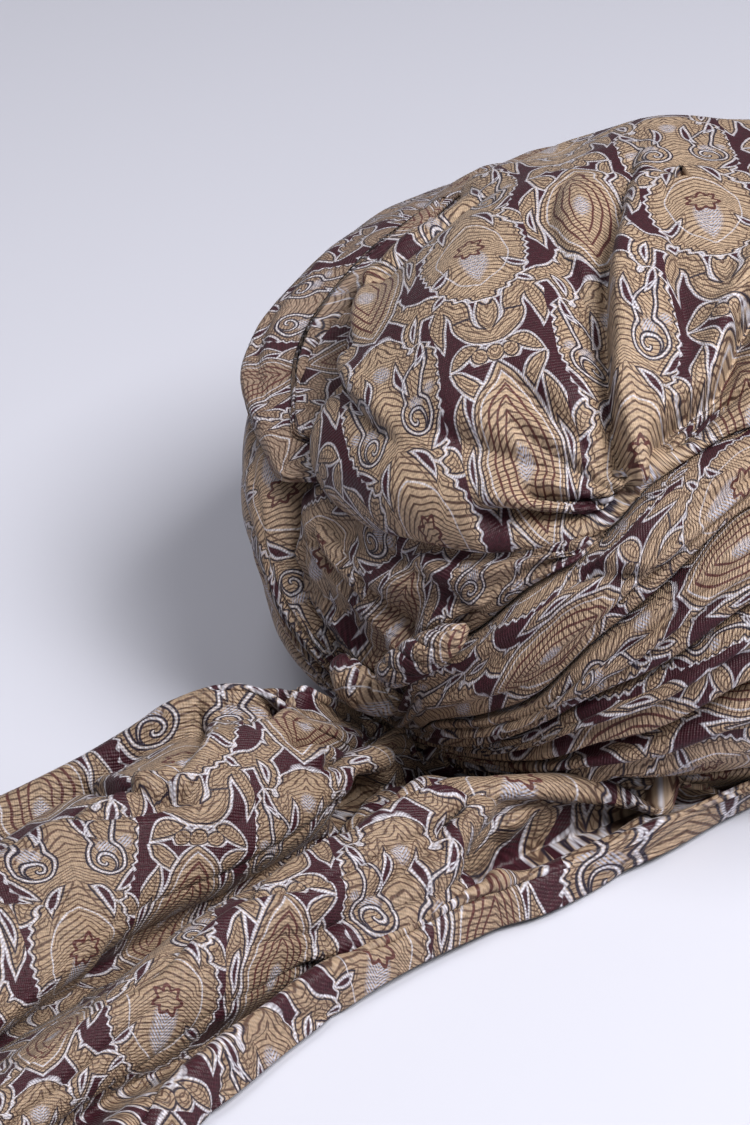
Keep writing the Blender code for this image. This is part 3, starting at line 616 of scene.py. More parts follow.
def makeCrown():
    azimuths = columnAzimuths()
    radii, heights, ledge = domeProfile(azimuths)
    neckShares = np.linspace(0, 1, crownCloth["neckRows"])[:, None]
    neckHeights = body["gap"] + (ledge - 0.001 - body["gap"]) * neckShares
    neck = pointsAt(azimuths, neckRadius(azimuths, neckHeights), neckHeights)
    shelf = np.linspace(0, 1, crownCloth["ledgeRows"] + 1)[1:, None]
    inner, outer = neckRadius(azimuths, ledge), radii[0] - crownCloth["tuck"]
    under = pointsAt(azimuths, inner + (outer - inner) * shelf, ledge + (heights[0] - ledge) * shelf ** 2)
    dome = pointsAt(azimuths, radii, heights)
    points = np.concatenate((neck, under, dome))
    ring = np.concatenate((points, points[:, :1]), axis=1)
    top = np.array((0.0, 0.0, body["height"]))
    toTop = np.concatenate((ring, np.broadcast_to(top, (1,) + ring.shape[1:])))
    reach = lengthsAlong(toTop[::-1], 0)[:0:-1]  # over the dome from its top
    angle = np.radians(np.concatenate((azimuths, azimuths[:1])))
    cloth = np.stack((reach * np.sin(angle), -reach * np.cos(angle)), axis=-1)
    here = cloth[:, :len(azimuths)]
    normals = surfaceNormals(points, True)
    relief = 0
    for azimuth, distance, height, spread in crownSwells:
        away = here - domePlaces(azimuth, distance)
        relief = relief + height * np.exp(-(np.hypot(away[..., 0], away[..., 1]) / spread) ** 2)
    for k, (size, height) in enumerate((crownCloth["wave"], crownCloth["shortWave"])):
        relief = relief + height * latticeNoise(points / size + 5, 90 + k)
    for depth, thin, lift, tapers, places in crownFolds:
        relief = relief + foldRelief(here, domePlaces(*zip(*places)), depth, thin, lift, tapers)
    relief = softLimit(relief, crownCloth["deepest"], crownCloth["proudest"])
    first = crownCloth["neckRows"] + crownCloth["ledgeRows"]
    relief *= smoothStep((np.arange(len(points)) - first) / crownCloth["fadeRows"])[:, None]
    relief *= smoothStep(reach[:, :-1] / crownCloth["calmTop"])
    points = points + normals * relief[..., None]
    highest = points[-1].mean(axis=0)
    piece = clothMesh(pieceName("crown"), points, turnedCloth(cloth, crownCloth["lay"]), True,
                      (highest, turnedCloth(np.zeros(2), crownCloth["lay"])))
    thicken(piece, crownCloth["thickness"])
    return piece, flatSize(points, True, crownCloth["cutWidth"])


made["crown"] = makeCrown()


print("turban: rolls at the gather")
gatherCloth = {
    "radius": 0.0046,
    "ends": 0.22,  # share of the radius that is left at the ends
    "sunk": 0.0022,  # how deep it is pressed into the wraps
    "rings": 60, "sides": 48,
    "twist": 1.2,  # turns of its folds along the roll
    "folds": 4,
    "foldDepth": 0.12,
    "lays": {"gather_roll": (50, 0.01, 0.02), "gather_tuck": (20, 0.03, 0.0)},
}
gatherRolls = {"gather_roll": ((190, 0.45), (179, 0.30)), "gather_tuck": ((179, 0.215), (172, 0.29))}


def outerRadius(azimuth, height):
    # outside of whichever wrap lies at this height, as the solids have it
    for node, lower, upper, *others in wrapPieces:
        bottom = float(heightAt(lower, azimuth)) if lower else 0.0
        top = float(heightAt(upper, azimuth))
        if bottom <= height < top:
            swell = float(foldSwell(lower, azimuth, top - bottom))
            rounding = math.sin(math.pi * (height - bottom) / (top - bottom)) ** body["solidPower"]
            groove = body["solidGroove"]
            return float(bodyRadius(azimuth, height)) - groove + (groove + swell) * rounding
    return float(bodyRadius(azimuth, height))


def seatRadius(azimuth, height, radius):
    # how far out the middle of a ball of this radius lies when it touches the wraps
    reach = 0.0
    for i in range(-4, 5):
        for j in range(-4, 5):
            inside = 16 - i ** 2 - j ** 2
            if inside >= 0:
                turn = math.degrees(radius * i / 4 / float(bodyRadius(azimuth, height)))
                touch = outerRadius(azimuth + turn, height + radius * j / 4)
                reach = max(reach, touch + radius * math.sqrt(inside) / 4)
    return reach


def makeGatherRoll(node):
    start, end = gatherRolls[node]
    ends = gatherCloth["ends"]
    seats = []
    for share in np.linspace(0, 1, 13):
        azimuth = start[0] + (end[0] - start[0]) * share
        height = (start[1] + (end[1] - start[1]) * share) * body["height"]
        radius = gatherCloth["radius"] * (ends + (1 - ends) * math.sqrt(max(math.sin(math.pi * share), 0)))
        seat = seatRadius(azimuth, height, radius) - gatherCloth["sunk"]
        seats.append((*pointsAt(azimuth, seat, height), radius, azimuth))
    path = curveThrough(seats, gatherCloth["rings"] // 12)
    centres, radii, turns = path[:, :3], path[:, 3], np.radians(path[:, 4])
    ahead = np.gradient(centres, axis=0)
    ahead /= np.linalg.norm(ahead, axis=-1, keepdims=True)
    outward = np.stack((np.sin(turns), -np.cos(turns), np.zeros_like(turns)), axis=-1)
    across = np.cross(ahead, outward)
    across /= np.linalg.norm(across, axis=-1, keepdims=True)
    away = np.cross(across, ahead)
    angles = np.linspace(0, 2 * np.pi, gatherCloth["sides"], endpoint=False)
    passed = np.linspace(0, 1, len(path))[:, None]
    wave = np.abs(np.sin(gatherCloth["folds"] / 2 * (angles + 2 * np.pi * gatherCloth["twist"] * passed)))
    around = radii[:, None] * (1 - gatherCloth["foldDepth"] * 2 * (1 - wave) ** 2)
    around = around * np.sqrt(np.clip(1 - (2 * passed - 1) ** 8, 0.02, 1))  # rounded ends
    points = centres[:, None] + around[..., None] * (np.cos(angles)[:, None] * across[:, None]
                                                      + np.sin(angles)[:, None] * away[:, None])
    girth = 2 * math.pi * gatherCloth["radius"]
    turn = np.append(angles, 2 * np.pi) / (2 * np.pi) * girth
    cloth = np.stack(np.broadcast_arrays(passed * lengthsAlong(centres, 0)[-1], turn), axis=-1)
    piece = clothMesh(pieceName(node), points, turnedCloth(cloth, gatherCloth["lays"][node]), True)
    thicken(piece, wrapCloth["thickness"])
    return piece, flatSize(points, True, girth)


for node in gatherRolls:
    made[node] = makeGatherRoll(node)


print("turban: tail")
tailCloth = {
    "length": 0.184, "width": 0.160, "foldHeight": 0.043, "thickness": 0.0016,
    "alongPieces": 26, "acrossPieces": 18,
    "stations": (0.055, 0.19, 0.355, 0.545, 0.76, 1.0),  # as shares of the length
    "clear": 0.0025,  # how far it stays off the wraps
    "pleat": (0.0030, 0.013),  # depth and spacing of the small folds that run along the tail
    "pleatDrift": 0.05,  # reach of the drift in those folds
    "wave": (0.022, 0.0018), "shortWave": (0.009, 0.0007),  # reach and height
    "waveStretch": 2.2,  # the waves run this much longer along the tail
    "deepest": 0.011, "proudest": 0.0045,
    "lay": (60, 0.0, 0.0),
}
# the tail's folds from its far edge to its near edge: azimuth and height where each starts under the rim,
# then its place across as shares of the width and its height as shares of the fold height
tailFolds = (
    (168, 0.05, (0.21, 0.375, 0.50, 0.61, 0.65, 0.66), (0.05, 0.05, 0.05, 0.05, 0.05, 0.05)),
    (171, 0.40, (0.13, 0.26, 0.38, 0.48, 0.53, 0.55), (0.80, 0.93, 0.60, 0.42, 0.38, 0.33)),
    (174, 0.36, (0.10, 0.20, 0.31, 0.40, 0.45, 0.48), (0.70, 0.82, 0.52, 0.36, 0.31, 0.26)),
    (177, 0.38, (0.05, 0.11, 0.14, 0.19, 0.26, 0.31), (0.66, 0.93, 0.91, 0.78, 0.65, 0.51)),
    (180, 0.30, (0.01, -0.01, 0.0, 0.035, 0.045, 0.055), (0.48, 0.49, 0.47, 0.47, 0.40, 0.33)),
    (184, 0.12, (0.035, 0.035, 0.05, 0.08, 0.09, 0.10), (0.08, 0.06, 0.06, 0.06, 0.06, 0.06)),
    (190, 0.09, (-0.035, -0.03, -0.012, 0.015, 0.025, 0.035), (0.16, 0.13, 0.11, 0.10, 0.10, 0.10)),
    (196, 0.14, (-0.14, -0.125, -0.094, -0.075, -0.075, -0.062), (0.52, 0.58, 0.53, 0.51, 0.47, 0.40)),
    (213, 0.33, (-0.275, -0.24, -0.21, -0.175, -0.14, -0.125), (0.68, 0.70, 0.65, 0.63, 0.58, 0.47)),
    (218, 0.26, (-0.31, -0.32, -0.27, -0.225, -0.19, -0.175), (0.42, 0.32, 0.30, 0.30, 0.28, 0.26)),
    (222, 0.09, (-0.31, -0.315, -0.25, -0.205, -0.17, -0.155), (0.09, 0.10, 0.07, 0.06, 0.06, 0.06)),
    (226, 0.10, (-0.35, -0.328, -0.272, -0.235, -0.215, -0.205), (0.10, 0.11, 0.09, 0.08, 0.08, 0.08)),
    (230, 0.30, (-0.40, -0.345, -0.295, -0.27, -0.275, -0.28), (0.28, 0.30, 0.24, 0.28, 0.28, 0.23)),
    (235, 0.06, (-0.435, -0.37, -0.32, -0.31, -0.315, -0.32), (0.05, 0.05, 0.05, 0.05, 0.05, 0.05)),
)
# creases pressed across those folds: depth, width, lift, both tapers, then places in mm seen from above
tailCreases = (
    (0.0045, 0.0022, 0.0018, (0.01, 0.01), ((42, 172), (30, 185), (24, 193), (20, 216))),
    (0.0042, 0.0022, 0.0018, (0.01, 0.01), ((60, 205), (38, 212), (22, 214), (12, 203))),
    (0.0090, 0.0024, 0.0034, (0.002, 0.008), ((10, 129), (5, 143), (2, 155), (2, 168))),
    (0.0070, 0.0020, 0.0028, (0.004, 0.006), ((-6, 122), (1, 136), (4, 147), (8, 160), (9, 172))),
    (0.0060, 0.0020, 0.0026, (0.004, 0.012), ((22, 124), (25, 142), (24, 158), (18, 172))),
    (0.0085, 0.0022, 0.0032, (0.01, 0.006),
     ((-71, 96), (-64, 110), (-59, 122), (-54, 135), (-49, 150), (-55, 171))),
    (0.0065, 0.0024, 0.0026, (0.01, 0.02), ((-72, 93), (-65, 107), (-62, 128), (-53, 151), (-49, 180))),
    (0.0060, 0.0022, 0.0024, (0.006, 0.02), ((-47, 146), (-40, 156), (-31, 162), (-27, 174), (-24, 196))),
    (0.0055, 0.0022, 0.0022, (0.004, 0.03), ((-12, 128), (-16, 148), (-21, 174), (-19, 206), (-23, 244))),
    (0.0048, 0.0022, 0.0020, (0.01, 0.03), ((-42, 150), (-44, 180), (-40, 212), (-36, 250))),
    (0.0044, 0.0026, 0.0018, (0.02, 0.04), ((46, 186), (56, 226), (60, 262), (70, 305))),
    (0.0044, 0.0026, 0.0018, (0.02, 0.04), ((26, 176), (32, 214), (44, 262), (48, 305))),
    (0.0036, 0.0024, 0.0016, (0.02, 0.02), ((8, 196), (24, 226), (50, 246), (72, 256))),
    (0.0036, 0.0024, 0.0016, (0.02, 0.02), ((2, 246), (24, 262), (42, 286), (50, 316))),
    (0.0040, 0.0022, 0.0018, (0.01, 0.03), ((-30, 214), (-22, 236), (-24, 262), (-18, 290))),
)


def makeTail():
    back = body["openingLength"] / 2 + body["rimWall"] + body["swell"]
    half = tailCloth["thickness"] / 2
    lines = []
    for azimuth, height, across, heights in tailFolds:
        level = max(height * tailCloth["foldHeight"], half)
        line = [pointsAt(azimuth, outerRadius(azimuth, level), level)]
        for along, side, share in zip(tailCloth["stations"], across, heights):
            line.append(np.array((side * tailCloth["width"], back + along * tailCloth["length"],
                                  share * tailCloth["foldHeight"])))
        lines.append(curveThrough(line, tailCloth["alongPieces"]))
    grid = curveThrough(lines, tailCloth["acrossPieces"])  # across, along
    points = np.swapaxes(grid, 0, 1)[:, ::-1]  # rows run out along the tail, columns from its near edge
    points[..., 2] = np.maximum(points[..., 2], half)
    azimuths = np.degrees(np.arctan2(points[..., 0], -points[..., 1])) % 360
    reach = np.hypot(points[..., 0], points[..., 1])
    least = bodyRadius(azimuths, points[..., 2]) + tailCloth["clear"]
    points[..., :2] *= np.maximum(1, least / reach)[..., None]
    # the cloth is laid out from the column over the broad fold and from the row halfway out
    broad, halfway = int(points.shape[1] * 0.6), points.shape[0] // 2
    along = lengthsAlong(points, 0)[:, broad:broad + 1]
    across = lengthsAlong(points, 1)[halfway:halfway + 1]
    cloth = np.stack(np.broadcast_arrays(across - across[:, broad:broad + 1], -along), axis=-1)
    normals = -surfaceNormals(points, False)
    relief = 0
    for k, (size, height) in enumerate((tailCloth["wave"], tailCloth["shortWave"])):
        places = points / size / np.array((1, tailCloth["waveStretch"], 1))
        relief = relief + height * latticeNoise(places + 3, 40 + k)
    for depth, thin, lift, tapers, line in tailCreases:
        relief = relief + foldRelief(points[..., :2], np.array(line) / 1000, depth, thin, lift, tapers)
    deep, spacing = tailCloth["pleat"]
    drift = np.stack((points[..., 1], points[..., 0], 0 * reach), axis=-1) / tailCloth["pleatDrift"]
    drift = latticeNoise(drift, 77)
    fold = np.abs(np.sin(np.pi * (across / spacing + 0.9 * drift)))
    relief = relief - deep * (1 - fold) ** 3 * (0.6 + 0.6 * drift)
    relief = softLimit(relief, tailCloth["deepest"], tailCloth["proudest"])
    points = points - normals * relief[..., None]
    points[..., 2] = np.maximum(points[..., 2], half)
    piece = clothMesh(pieceName("tail"), points[:, ::-1], turnedCloth(cloth[:, ::-1], tailCloth["lay"]))
    thicken(piece, tailCloth["thickness"], 0.0)
    return piece, flatSize(points, False, float(across[0, -1]))


made["tail"] = makeTail()


print("turban: woven pattern")
# the woven pattern, in millimetres of cloth; x is the distance from a motif's axis, y runs up it from the
# tip of its vase
brocade = {
    "columnSpacing": 34.0,  # between the axes of two motifs side by side
    "repeat": 145.0,  # along an axis; the next column lies half a repeat further on
    "start": -23.6,  # where one repeat ends and the next starts
    "outline": 0.30,  # half width of a raised outline
    "rib": 1.4,  # spacing of the slanting ribs in the gold
    "wander": 1.3,  # how far the drawing wanders off its true line
    "wanderScale": 0.09,
}


class Field:
    # a value that changes over the cloth; sums and products of fields become Math nodes
    def __init__(self, tree, socket):
        self.tree, self.socket = tree, socket

    def op(self, operation, *others, clamp=False):
        node = self.tree.nodes.new("ShaderNodeMath")
        node.operation, node.use_clamp = operation, clamp
        for slot, value in zip(node.inputs, (self, *others)):
            if isinstance(value, Field):
                self.tree.links.new(value.socket, slot)
            else:
                slot.default_value = value
        return Field(self.tree, node.outputs[0])

    def __add__(self, other):
        return self.op("ADD", other)

    def __sub__(self, other):
        return self.op("SUBTRACT", other)

    def __mul__(self, other):
        return self.op("MULTIPLY", other)

    def outside(self):
        return self * -1.0

    def near(self, other):  # the lower of two distances: both shapes together
        return self.op("MINIMUM", other)

    def both(self, other):  # the higher of two distances: what the shapes share
        return self.op("MAXIMUM", other)

    def joined(self, other, soft):  # both shapes together with a soft corner between them
        return self.op("SMOOTH_MIN", other, soft)

    def inside(self, soft=0.2):  # 1 within a shape, 0 outside it
        return self.op("MULTIPLY_ADD", -1.0 / soft, 0.5, clamp=True)

    def line(self, halfWidth, soft=0.2):  # 1 on a shape's edge
        return (self.op("ABSOLUTE") - halfWidth).inside(soft)

    def stripes(self, spacing, share, soft=0.12):  # 1 on stripes that take up this share of their spacing
        wave = self.op("PINGPONG", spacing / 2)
        return (wave - share * spacing / 2).inside(spacing * soft)


def separate(tree, socket):
    node = tree.nodes.new("ShaderNodeSeparateXYZ")
    tree.links.new(socket, node.inputs[0])
    return Field(tree, node.outputs[0]), Field(tree, node.outputs[1])


def combine(x, y):
    node = x.tree.nodes.new("ShaderNodeCombineXYZ")
    for slot, value in zip(node.inputs, (x, y)):
        x.tree.links.new(value.socket, slot)
    return node.outputs[0]


def length(x, y):
    node = x.tree.nodes.new("ShaderNodeVectorMath")
    node.operation = "LENGTH"
    x.tree.links.new(combine(x, y), node.inputs[0])
    return Field(x.tree, node.outputs["Value"])


def disc(x, y, at, radius):
    return length(x - at[0] if at[0] else x, y - at[1]) - radius


def leaf(x, y, at, turn, halfLength, halfWidth, bend=0.0):
    # a pointed leaf, turned by so many degrees and bent sideways along its length
    across, along = x, y - at[1]
    if turn:
        cos, sin = math.cos(math.radians(turn)), math.sin(math.radians(turn))
        lift = bend * halfLength ** 2 / 3
        across = x.op("MULTIPLY_ADD", cos, y.op("MULTIPLY_ADD", sin, -at[0] * cos - at[1] * sin - lift))
        along = y.op("MULTIPLY_ADD", cos, x.op("MULTIPLY_ADD", -sin, at[0] * sin - at[1] * cos))
        if bend:
            across = (along * along).op("MULTIPLY_ADD", bend, across)
        across = across.op("ABSOLUTE")
    reach = (halfLength ** 2 - halfWidth ** 2) / (2 * halfWidth)
    return length(across + reach, along) - (reach + halfWidth)


def arc(x, y, at, radius, halfWidth):
    # a curved band about this centre
    return disc(x, y, at, radius).op("ABSOLUTE") - halfWidth


def curl(x, y, at, pitch, turns):
    # distance to a spiral line of so many turns
    dx, dy = x - at[0], y - at[1]
    radius = length(dx, dy)
    angle = dy.op("ARCTAN2", dx) * (1 / (2 * math.pi))
    winding = radius.op("MULTIPLY_ADD", 1 / pitch, angle).op("WRAP", 0.5, -0.5)
    return (winding.op("ABSOLUTE") * pitch).both(radius - pitch * turns)


def clothPlaces(tree, source):
    # millimetres of cloth, a little off their true place, as woven cloth pulls
    scaled = tree.nodes.new("ShaderNodeVectorMath")
    scaled.operation = "SCALE"
    scaled.inputs["Scale"].default_value = 1000
    tree.links.new(source, scaled.inputs[0])
    wander = tree.nodes.new("ShaderNodeTexNoise")
    wander.noise_dimensions = "2D"
    wander.inputs["Scale"].default_value = brocade["wanderScale"]
    wander.inputs["Detail"].default_value = 1.0
    tree.links.new(scaled.outputs[0], wander.inputs["Vector"])
    shift = tree.nodes.new("ShaderNodeVectorMath")
    shift.operation = "MULTIPLY_ADD"
    shift.inputs[1].default_value = (brocade["wander"] * 2,) * 3
    tree.links.new(wander.outputs["Color"], shift.inputs[0])
    tree.links.new(scaled.outputs[0], shift.inputs[2])
    return separate(tree, shift.outputs[0])


# leaves beside the motif's axis: place, turn, half length, half width, bend
leaves = (
    ((14.4, 101.0), 4, 14.0, 2.9, 0.015),  # between the almond and the next palmette
    ((9.4, 117.0), -38, 6.0, 2.2, -0.03),
    ((13.2, 31.0), 50, 5.4, 2.4, 0.03),  # beside the neck
    ((12.4, 70.5), -16, 7.5, 2.7, -0.03),  # hanging from the band beside the cap
    ((14.4, -6.0), 14, 8.0, 2.2, 0.03),  # and outside the turn below the vase
    ((9.0, -19.6), 62, 5.4, 2.2, 0.03),
)
# slits through the leaves and the band, where the ground shows
slits = (
    ((14.5, 99.0), 4, 5.0, 0.85, 0.02),
    ((12.2, 2.6), 56, 2.8, 0.8, 0.03),
    ((12.4, 70.5), -16, 3.2, 0.75, -0.03),
    ((13.0, 81.6), -60, 2.8, 0.75, -0.03),
)
# and through the vase, between its neck and its lobes
cuts = (
    ((5.0, 57.0), 12, 5.0, 1.1, -0.04),
    ((13.4, 38.6), -40, 4.2, 1.1, 0.05),
    ((6.6, 33.6), 30, 4.6, 1.2, 0.05),
    ((12.4, 61.5), -25, 3.8, 1.0, 0.05),
    ((10.8, 9.2), 58, 3.6, 0.9, -0.04),
)


def patternGroup():
    tree = bpy.data.node_groups.new("brocadePattern", "ShaderNodeTree")
    tree.interface.new_socket("Cloth", in_out="INPUT", socket_type="NodeSocketVector")
    for name in ("Gold", "Outline", "Dark", "Speckle", "Rust", "Rib"):
        tree.interface.new_socket(name, in_out="OUTPUT", socket_type="NodeSocketFloat")
    source = tree.nodes.new("NodeGroupInput").outputs[0]
    sink = tree.nodes.new("NodeGroupOutput")
    rawX, rawY = clothPlaces(tree, source)
    column, repeat, half = brocade["columnSpacing"], brocade["repeat"], brocade["outline"]
    # fold the plane into half a motif: mirrored sideways, half a repeat further on in every other column
    mirrored = rawX.op("PINGPONG", column)
    second = (mirrored - column / 2).inside(0.001)
    x = mirrored.op("PINGPONG", column / 2)
    y = second.op("MULTIPLY_ADD", repeat / 2, rawY).op("WRAP", repeat + brocade["start"], brocade["start"])

    # the vase, y from its tip up: jagged palmette, neck, hooked lobes and a scalloped cap
    jag = y.op("MULTIPLY_ADD", 2.0, x * 0.6).op("SINE")
    palmette = leaf(x, y, (0.0, 17.0), 0, 19.5, 15.4)
    neck = leaf(x, y, (0.0, 40.0), 0, 27.0, 8.2)
    lobe = leaf(x, y, (9.6, 49.0), -6, 16.5, 7.6, -0.012)
    cap = disc(x, y, (0.0, 63.5), 9.0)
    vase = palmette.joined(neck, 3.0).joined(lobe, 2.5).joined(cap, 2.0) + jag * 0.42 - 0.7
    for place in cuts:
        vase = vase.both(leaf(x, y, *place).outside())
    paisley = disc(x, y, (8.6, 45.2), 4.9).joined(leaf(x, y, (9.6, 53.0), -12, 8.4, 2.8, -0.05), 2.0)
    curlLine = curl(x, y, (8.0, 44.0), 3.4, 0.9)
    lyre = palmette + 5.0
    innerLyre = leaf(x, y, (0.0, 12.5), 0, 8.0, 3.4)
    petals = (y - 19.0).op("ARCTAN2", x).op("MULTIPLY", 7.0).op("SINE")
    flower = petals.op("MULTIPLY_ADD", 0.7, disc(x, y, (0.0, 19.0), 3.6))
    # the almond with its veins, the small bud, the sprig and the broad band that turns below the vase
    almond = leaf(x, y, (0.0, 98.0), 0, 24.0, 12.3)
    veins = (almond + 4.6, almond + 7.0, almond + 9.2)
    heart = leaf(x, y, (0.0, 97.0), 0, 4.2, 2.2)
    bud = leaf(x, y, (0.0, -6.6), 0, 6.4, 3.2)
    turn = arc(x, y, (0.0, -7.0), 7.6, 2.8).both(y + 7.0)
    outward = arc(x, y, (17.0, -7.0), 9.4, 2.8).both((y + 7.0).outside())
    onward = arc(x, y, (17.0, 84.5), 9.6, 2.7).both(y - 84.5)
    sides = turn.near(outward).near(onward).near(bud)
    sides = sides.near(disc(x, y, (0.0, -21.0), 2.6)).near(disc(x, y, (4.4, -21.0), 2.4))
    for place in leaves:
        sides = sides.near(leaf(x, y, *place))
    sides = sides - 0.5
    for place in slits:
        sides = sides.both(leaf(x, y, *place).outside())

    # what lies on top hides the edges of what lies below
    above = vase.near(almond).outside()
    edges = vase.op("ABSOLUTE").near(almond.op("ABSOLUTE")).near(sides.op("ABSOLUTE").both(above))
    inner = paisley.op("ABSOLUTE").near(curlLine.both(paisley))
    rings = lyre.op("ABSOLUTE").both((y - 33.0)).near((almond + 2.4).op("ABSOLUTE"))
    raised = (edges - half).near(inner - half * 0.8).near(rings - half * 0.6)
    # navy lines that flank the raised outlines: a dark thread, and painted shade of the outlines' relief
    navyLineAndPaintedShade = (edges - half * 2.2).line(0.2).op("MAXIMUM", (inner - half * 1.9).line(0.26))
    rust = veins[0].line(0.34).op("MAXIMUM", veins[1].line(0.3)).op("MAXIMUM", veins[2].line(0.26))
    rust = rust.op("MAXIMUM", flower.line(0.55))
    patch = innerLyre.both(flower.outside()).near(heart)
    for place, radius in (((9.0, 48.0), 2.1), ((13.6, 50.0), 1.4), ((0.0, 62.0), 2.4)):
        patch = patch.near(disc(x, y, place, radius))
    onSides = sides.both(above).inside()
    slant = x.op("MULTIPLY_ADD", 0.85, y)
    slant = onSides.op("MULTIPLY_ADD", x * -1.6, slant) + edges * 0.5
    rib = slant.stripes(brocade["rib"], 0.30).op("MAXIMUM", (edges - 1.7).line(0.17))
    stitch = (x - y).stripes(1.0, 0.55, 0.3)
    outs = {"Gold": vase.near(almond).near(sides).inside(0.3), "Dark": navyLineAndPaintedShade,
            "Outline": raised.inside(0.3) * stitch.op("MULTIPLY_ADD", 0.5, 0.5),
            "Speckle": patch.inside(1.4) * stitch, "Rust": rust, "Rib": rib}
    for name, field in outs.items():
        tree.links.new(field.socket, sink.inputs[name])
    return tree


weave = {
    "weft": 0.00085,  # spacing of the fine ribs across the cloth
    "warp": 0.00055,
    "grain": 900,
    "height": (0.35, 0.15, 1.2),  # share of weft, warp and flecks in the height of the cloth
    "tone": (0.10, 0.05, 0.9, 0.5),  # and in its colour, on top of the last one
    "relief": 0.00022,
    "strength": 0.8,
}


def weaveGroup():
    # the threads themselves: height of the ribs, and how their colour changes from thread to thread
    tree = bpy.data.node_groups.new("threads", "ShaderNodeTree")
    tree.interface.new_socket("Cloth", in_out="INPUT", socket_type="NodeSocketVector")
    for name in ("Height", "Tone"):
        tree.interface.new_socket(name, in_out="OUTPUT", socket_type="NodeSocketFloat")
    source = tree.nodes.new("NodeGroupInput").outputs[0]
    sink = tree.nodes.new("NodeGroupOutput")
    x, y = separate(tree, source)
    grain = tree.nodes.new("ShaderNodeTexNoise")
    grain.noise_dimensions = "2D"
    grain.inputs["Scale"].default_value = weave["grain"]
    grain.inputs["Detail"].default_value = 1.0
    tree.links.new(source, grain.inputs["Vector"])
    fleck = Field(tree, grain.outputs["Fac"])
    rib = (y * (2 * math.pi / weave["weft"])).op("SINE")
    thread = (x * (2 * math.pi / weave["warp"])).op("SINE")
    height, tone = (rib * parts[0] + thread * parts[1] + fleck * parts[2]
                    for parts in (weave["height"], weave["tone"]))
    tone = tone + weave["tone"][3]
    tree.links.new(height.socket, sink.inputs["Height"])
    tree.links.new(tone.socket, sink.inputs["Tone"])
    return tree


pattern, threads = patternGroup(), weaveGroup()
# each slot's gold with painted shade in it, darker on the wraps, fan, gather and tail and darkest on the side
# rolls, and its finish
finishesAndPaintedShade = {
    "crown_brocade": {"gold": (0.38, 0.270, 0.182), "sheen": 0.05, "roughness": 0.5},
    "wrap_brocade": {"gold": (0.365, 0.256, 0.174), "sheen": 0.05, "roughness": 0.5},
    "fan_brocade": {"gold": (0.32, 0.225, 0.156), "sheen": 0.05, "roughness": 0.5},
    "roll_brocade": {"gold": (0.26, 0.182, 0.132), "sheen": 0.05, "roughness": 0.5},
    "gather_brocade": {"gold": (0.33, 0.231, 0.158), "sheen": 0.05, "roughness": 0.5},
    "tail_brocade": {"gold": (0.30, 0.210, 0.142), "sheen": 0.05, "roughness": 0.5},
}
gloss = {"sheenRoughness": 0.4, "specular": 0.3}
# navy also colours the painted shade beside the raised outlines
threadColors = {
    "ground": (0.034, 0.005, 0.010), "rib": (0.085, 0.046, 0.032), "silver": (0.52, 0.50, 0.55),
    "blue": (0.36, 0.35, 0.41), "navy": (0.016, 0.010, 0.020), "rust": (0.075, 0.022, 0.018),
}


def mixed(tree, mask, first, second):
    node = tree.nodes.new("ShaderNodeMix")
    node.data_type = "RGBA"
    tree.links.new(mask, node.inputs["Factor"])
    for slot, value in ((node.inputs[6], first), (node.inputs[7], second)):
        if isinstance(value, tuple):
            slot.default_value = (*value, 1.0)
        else:
            tree.links.new(value, slot)
    return node.outputs[2]


def brocadeMaterial(slot):
    finishAndPaintedShade = finishesAndPaintedShade[slot]
    material = bpy.data.materials.new(slot)
    material.use_nodes = True
    tree = material.node_tree
    shader = tree.nodes["Principled BSDF"]
    places = tree.nodes.new("ShaderNodeUVMap")
    places.uv_map = "cloth"
    motifs, ribs = tree.nodes.new("ShaderNodeGroup"), tree.nodes.new("ShaderNodeGroup")
    motifs.node_tree, ribs.node_tree = pattern, threads
    for group in (motifs, ribs):
        tree.links.new(places.outputs[0], group.inputs[0])
    # the slot's gold carries painted shade: the same brocade is made darker on the pieces that lie in shade
    color = mixed(tree, motifs.outputs["Rib"], finishAndPaintedShade["gold"], threadColors["rib"])
    # the navy lines beside the outlines are a dark thread and also painted shade of their relief
    for mask, thread in (("Speckle", "blue"), ("Dark", "navy"), ("Rust", "rust")):
        color = mixed(tree, motifs.outputs[mask], color, threadColors[thread])
    color = mixed(tree, motifs.outputs["Gold"], threadColors["ground"], color)
    color = mixed(tree, motifs.outputs["Outline"], color, threadColors["silver"])
    tone = tree.nodes.new("ShaderNodeVectorMath")
    tone.operation = "SCALE"
    tree.links.new(color, tone.inputs[0])
    tree.links.new(ribs.outputs["Tone"], tone.inputs["Scale"])
    tree.links.new(tone.outputs[0], shader.inputs["Base Color"])
    shader.inputs["Roughness"].default_value = finishAndPaintedShade["roughness"]
    shader.inputs["Sheen Weight"].default_value = finishAndPaintedShade["sheen"]
    shader.inputs["Sheen Roughness"].default_value = gloss["sheenRoughness"]
    shader.inputs["Specular IOR Level"].default_value = gloss["specular"]
    bump = tree.nodes.new("ShaderNodeBump")
    bump.inputs["Strength"].default_value = weave["strength"]
    bump.inputs["Distance"].default_value = weave["relief"]
    tree.links.new(ribs.outputs["Height"], bump.inputs["Height"])
    tree.links.new(bump.outputs[0], shader.inputs["Normal"])
    return material


print("turban: pieces onto the frame")
slots = {row["node"]: row["material_slot"] for row in frame["record"]["subparts"]}
materials = {slot: brocadeMaterial(slot) for slot in finishesAndPaintedShade}
for node, (piece, flat) in made.items():
    piece.data.materials.append(materials[slots[node]])
    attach(piece, "root")
    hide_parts(node)


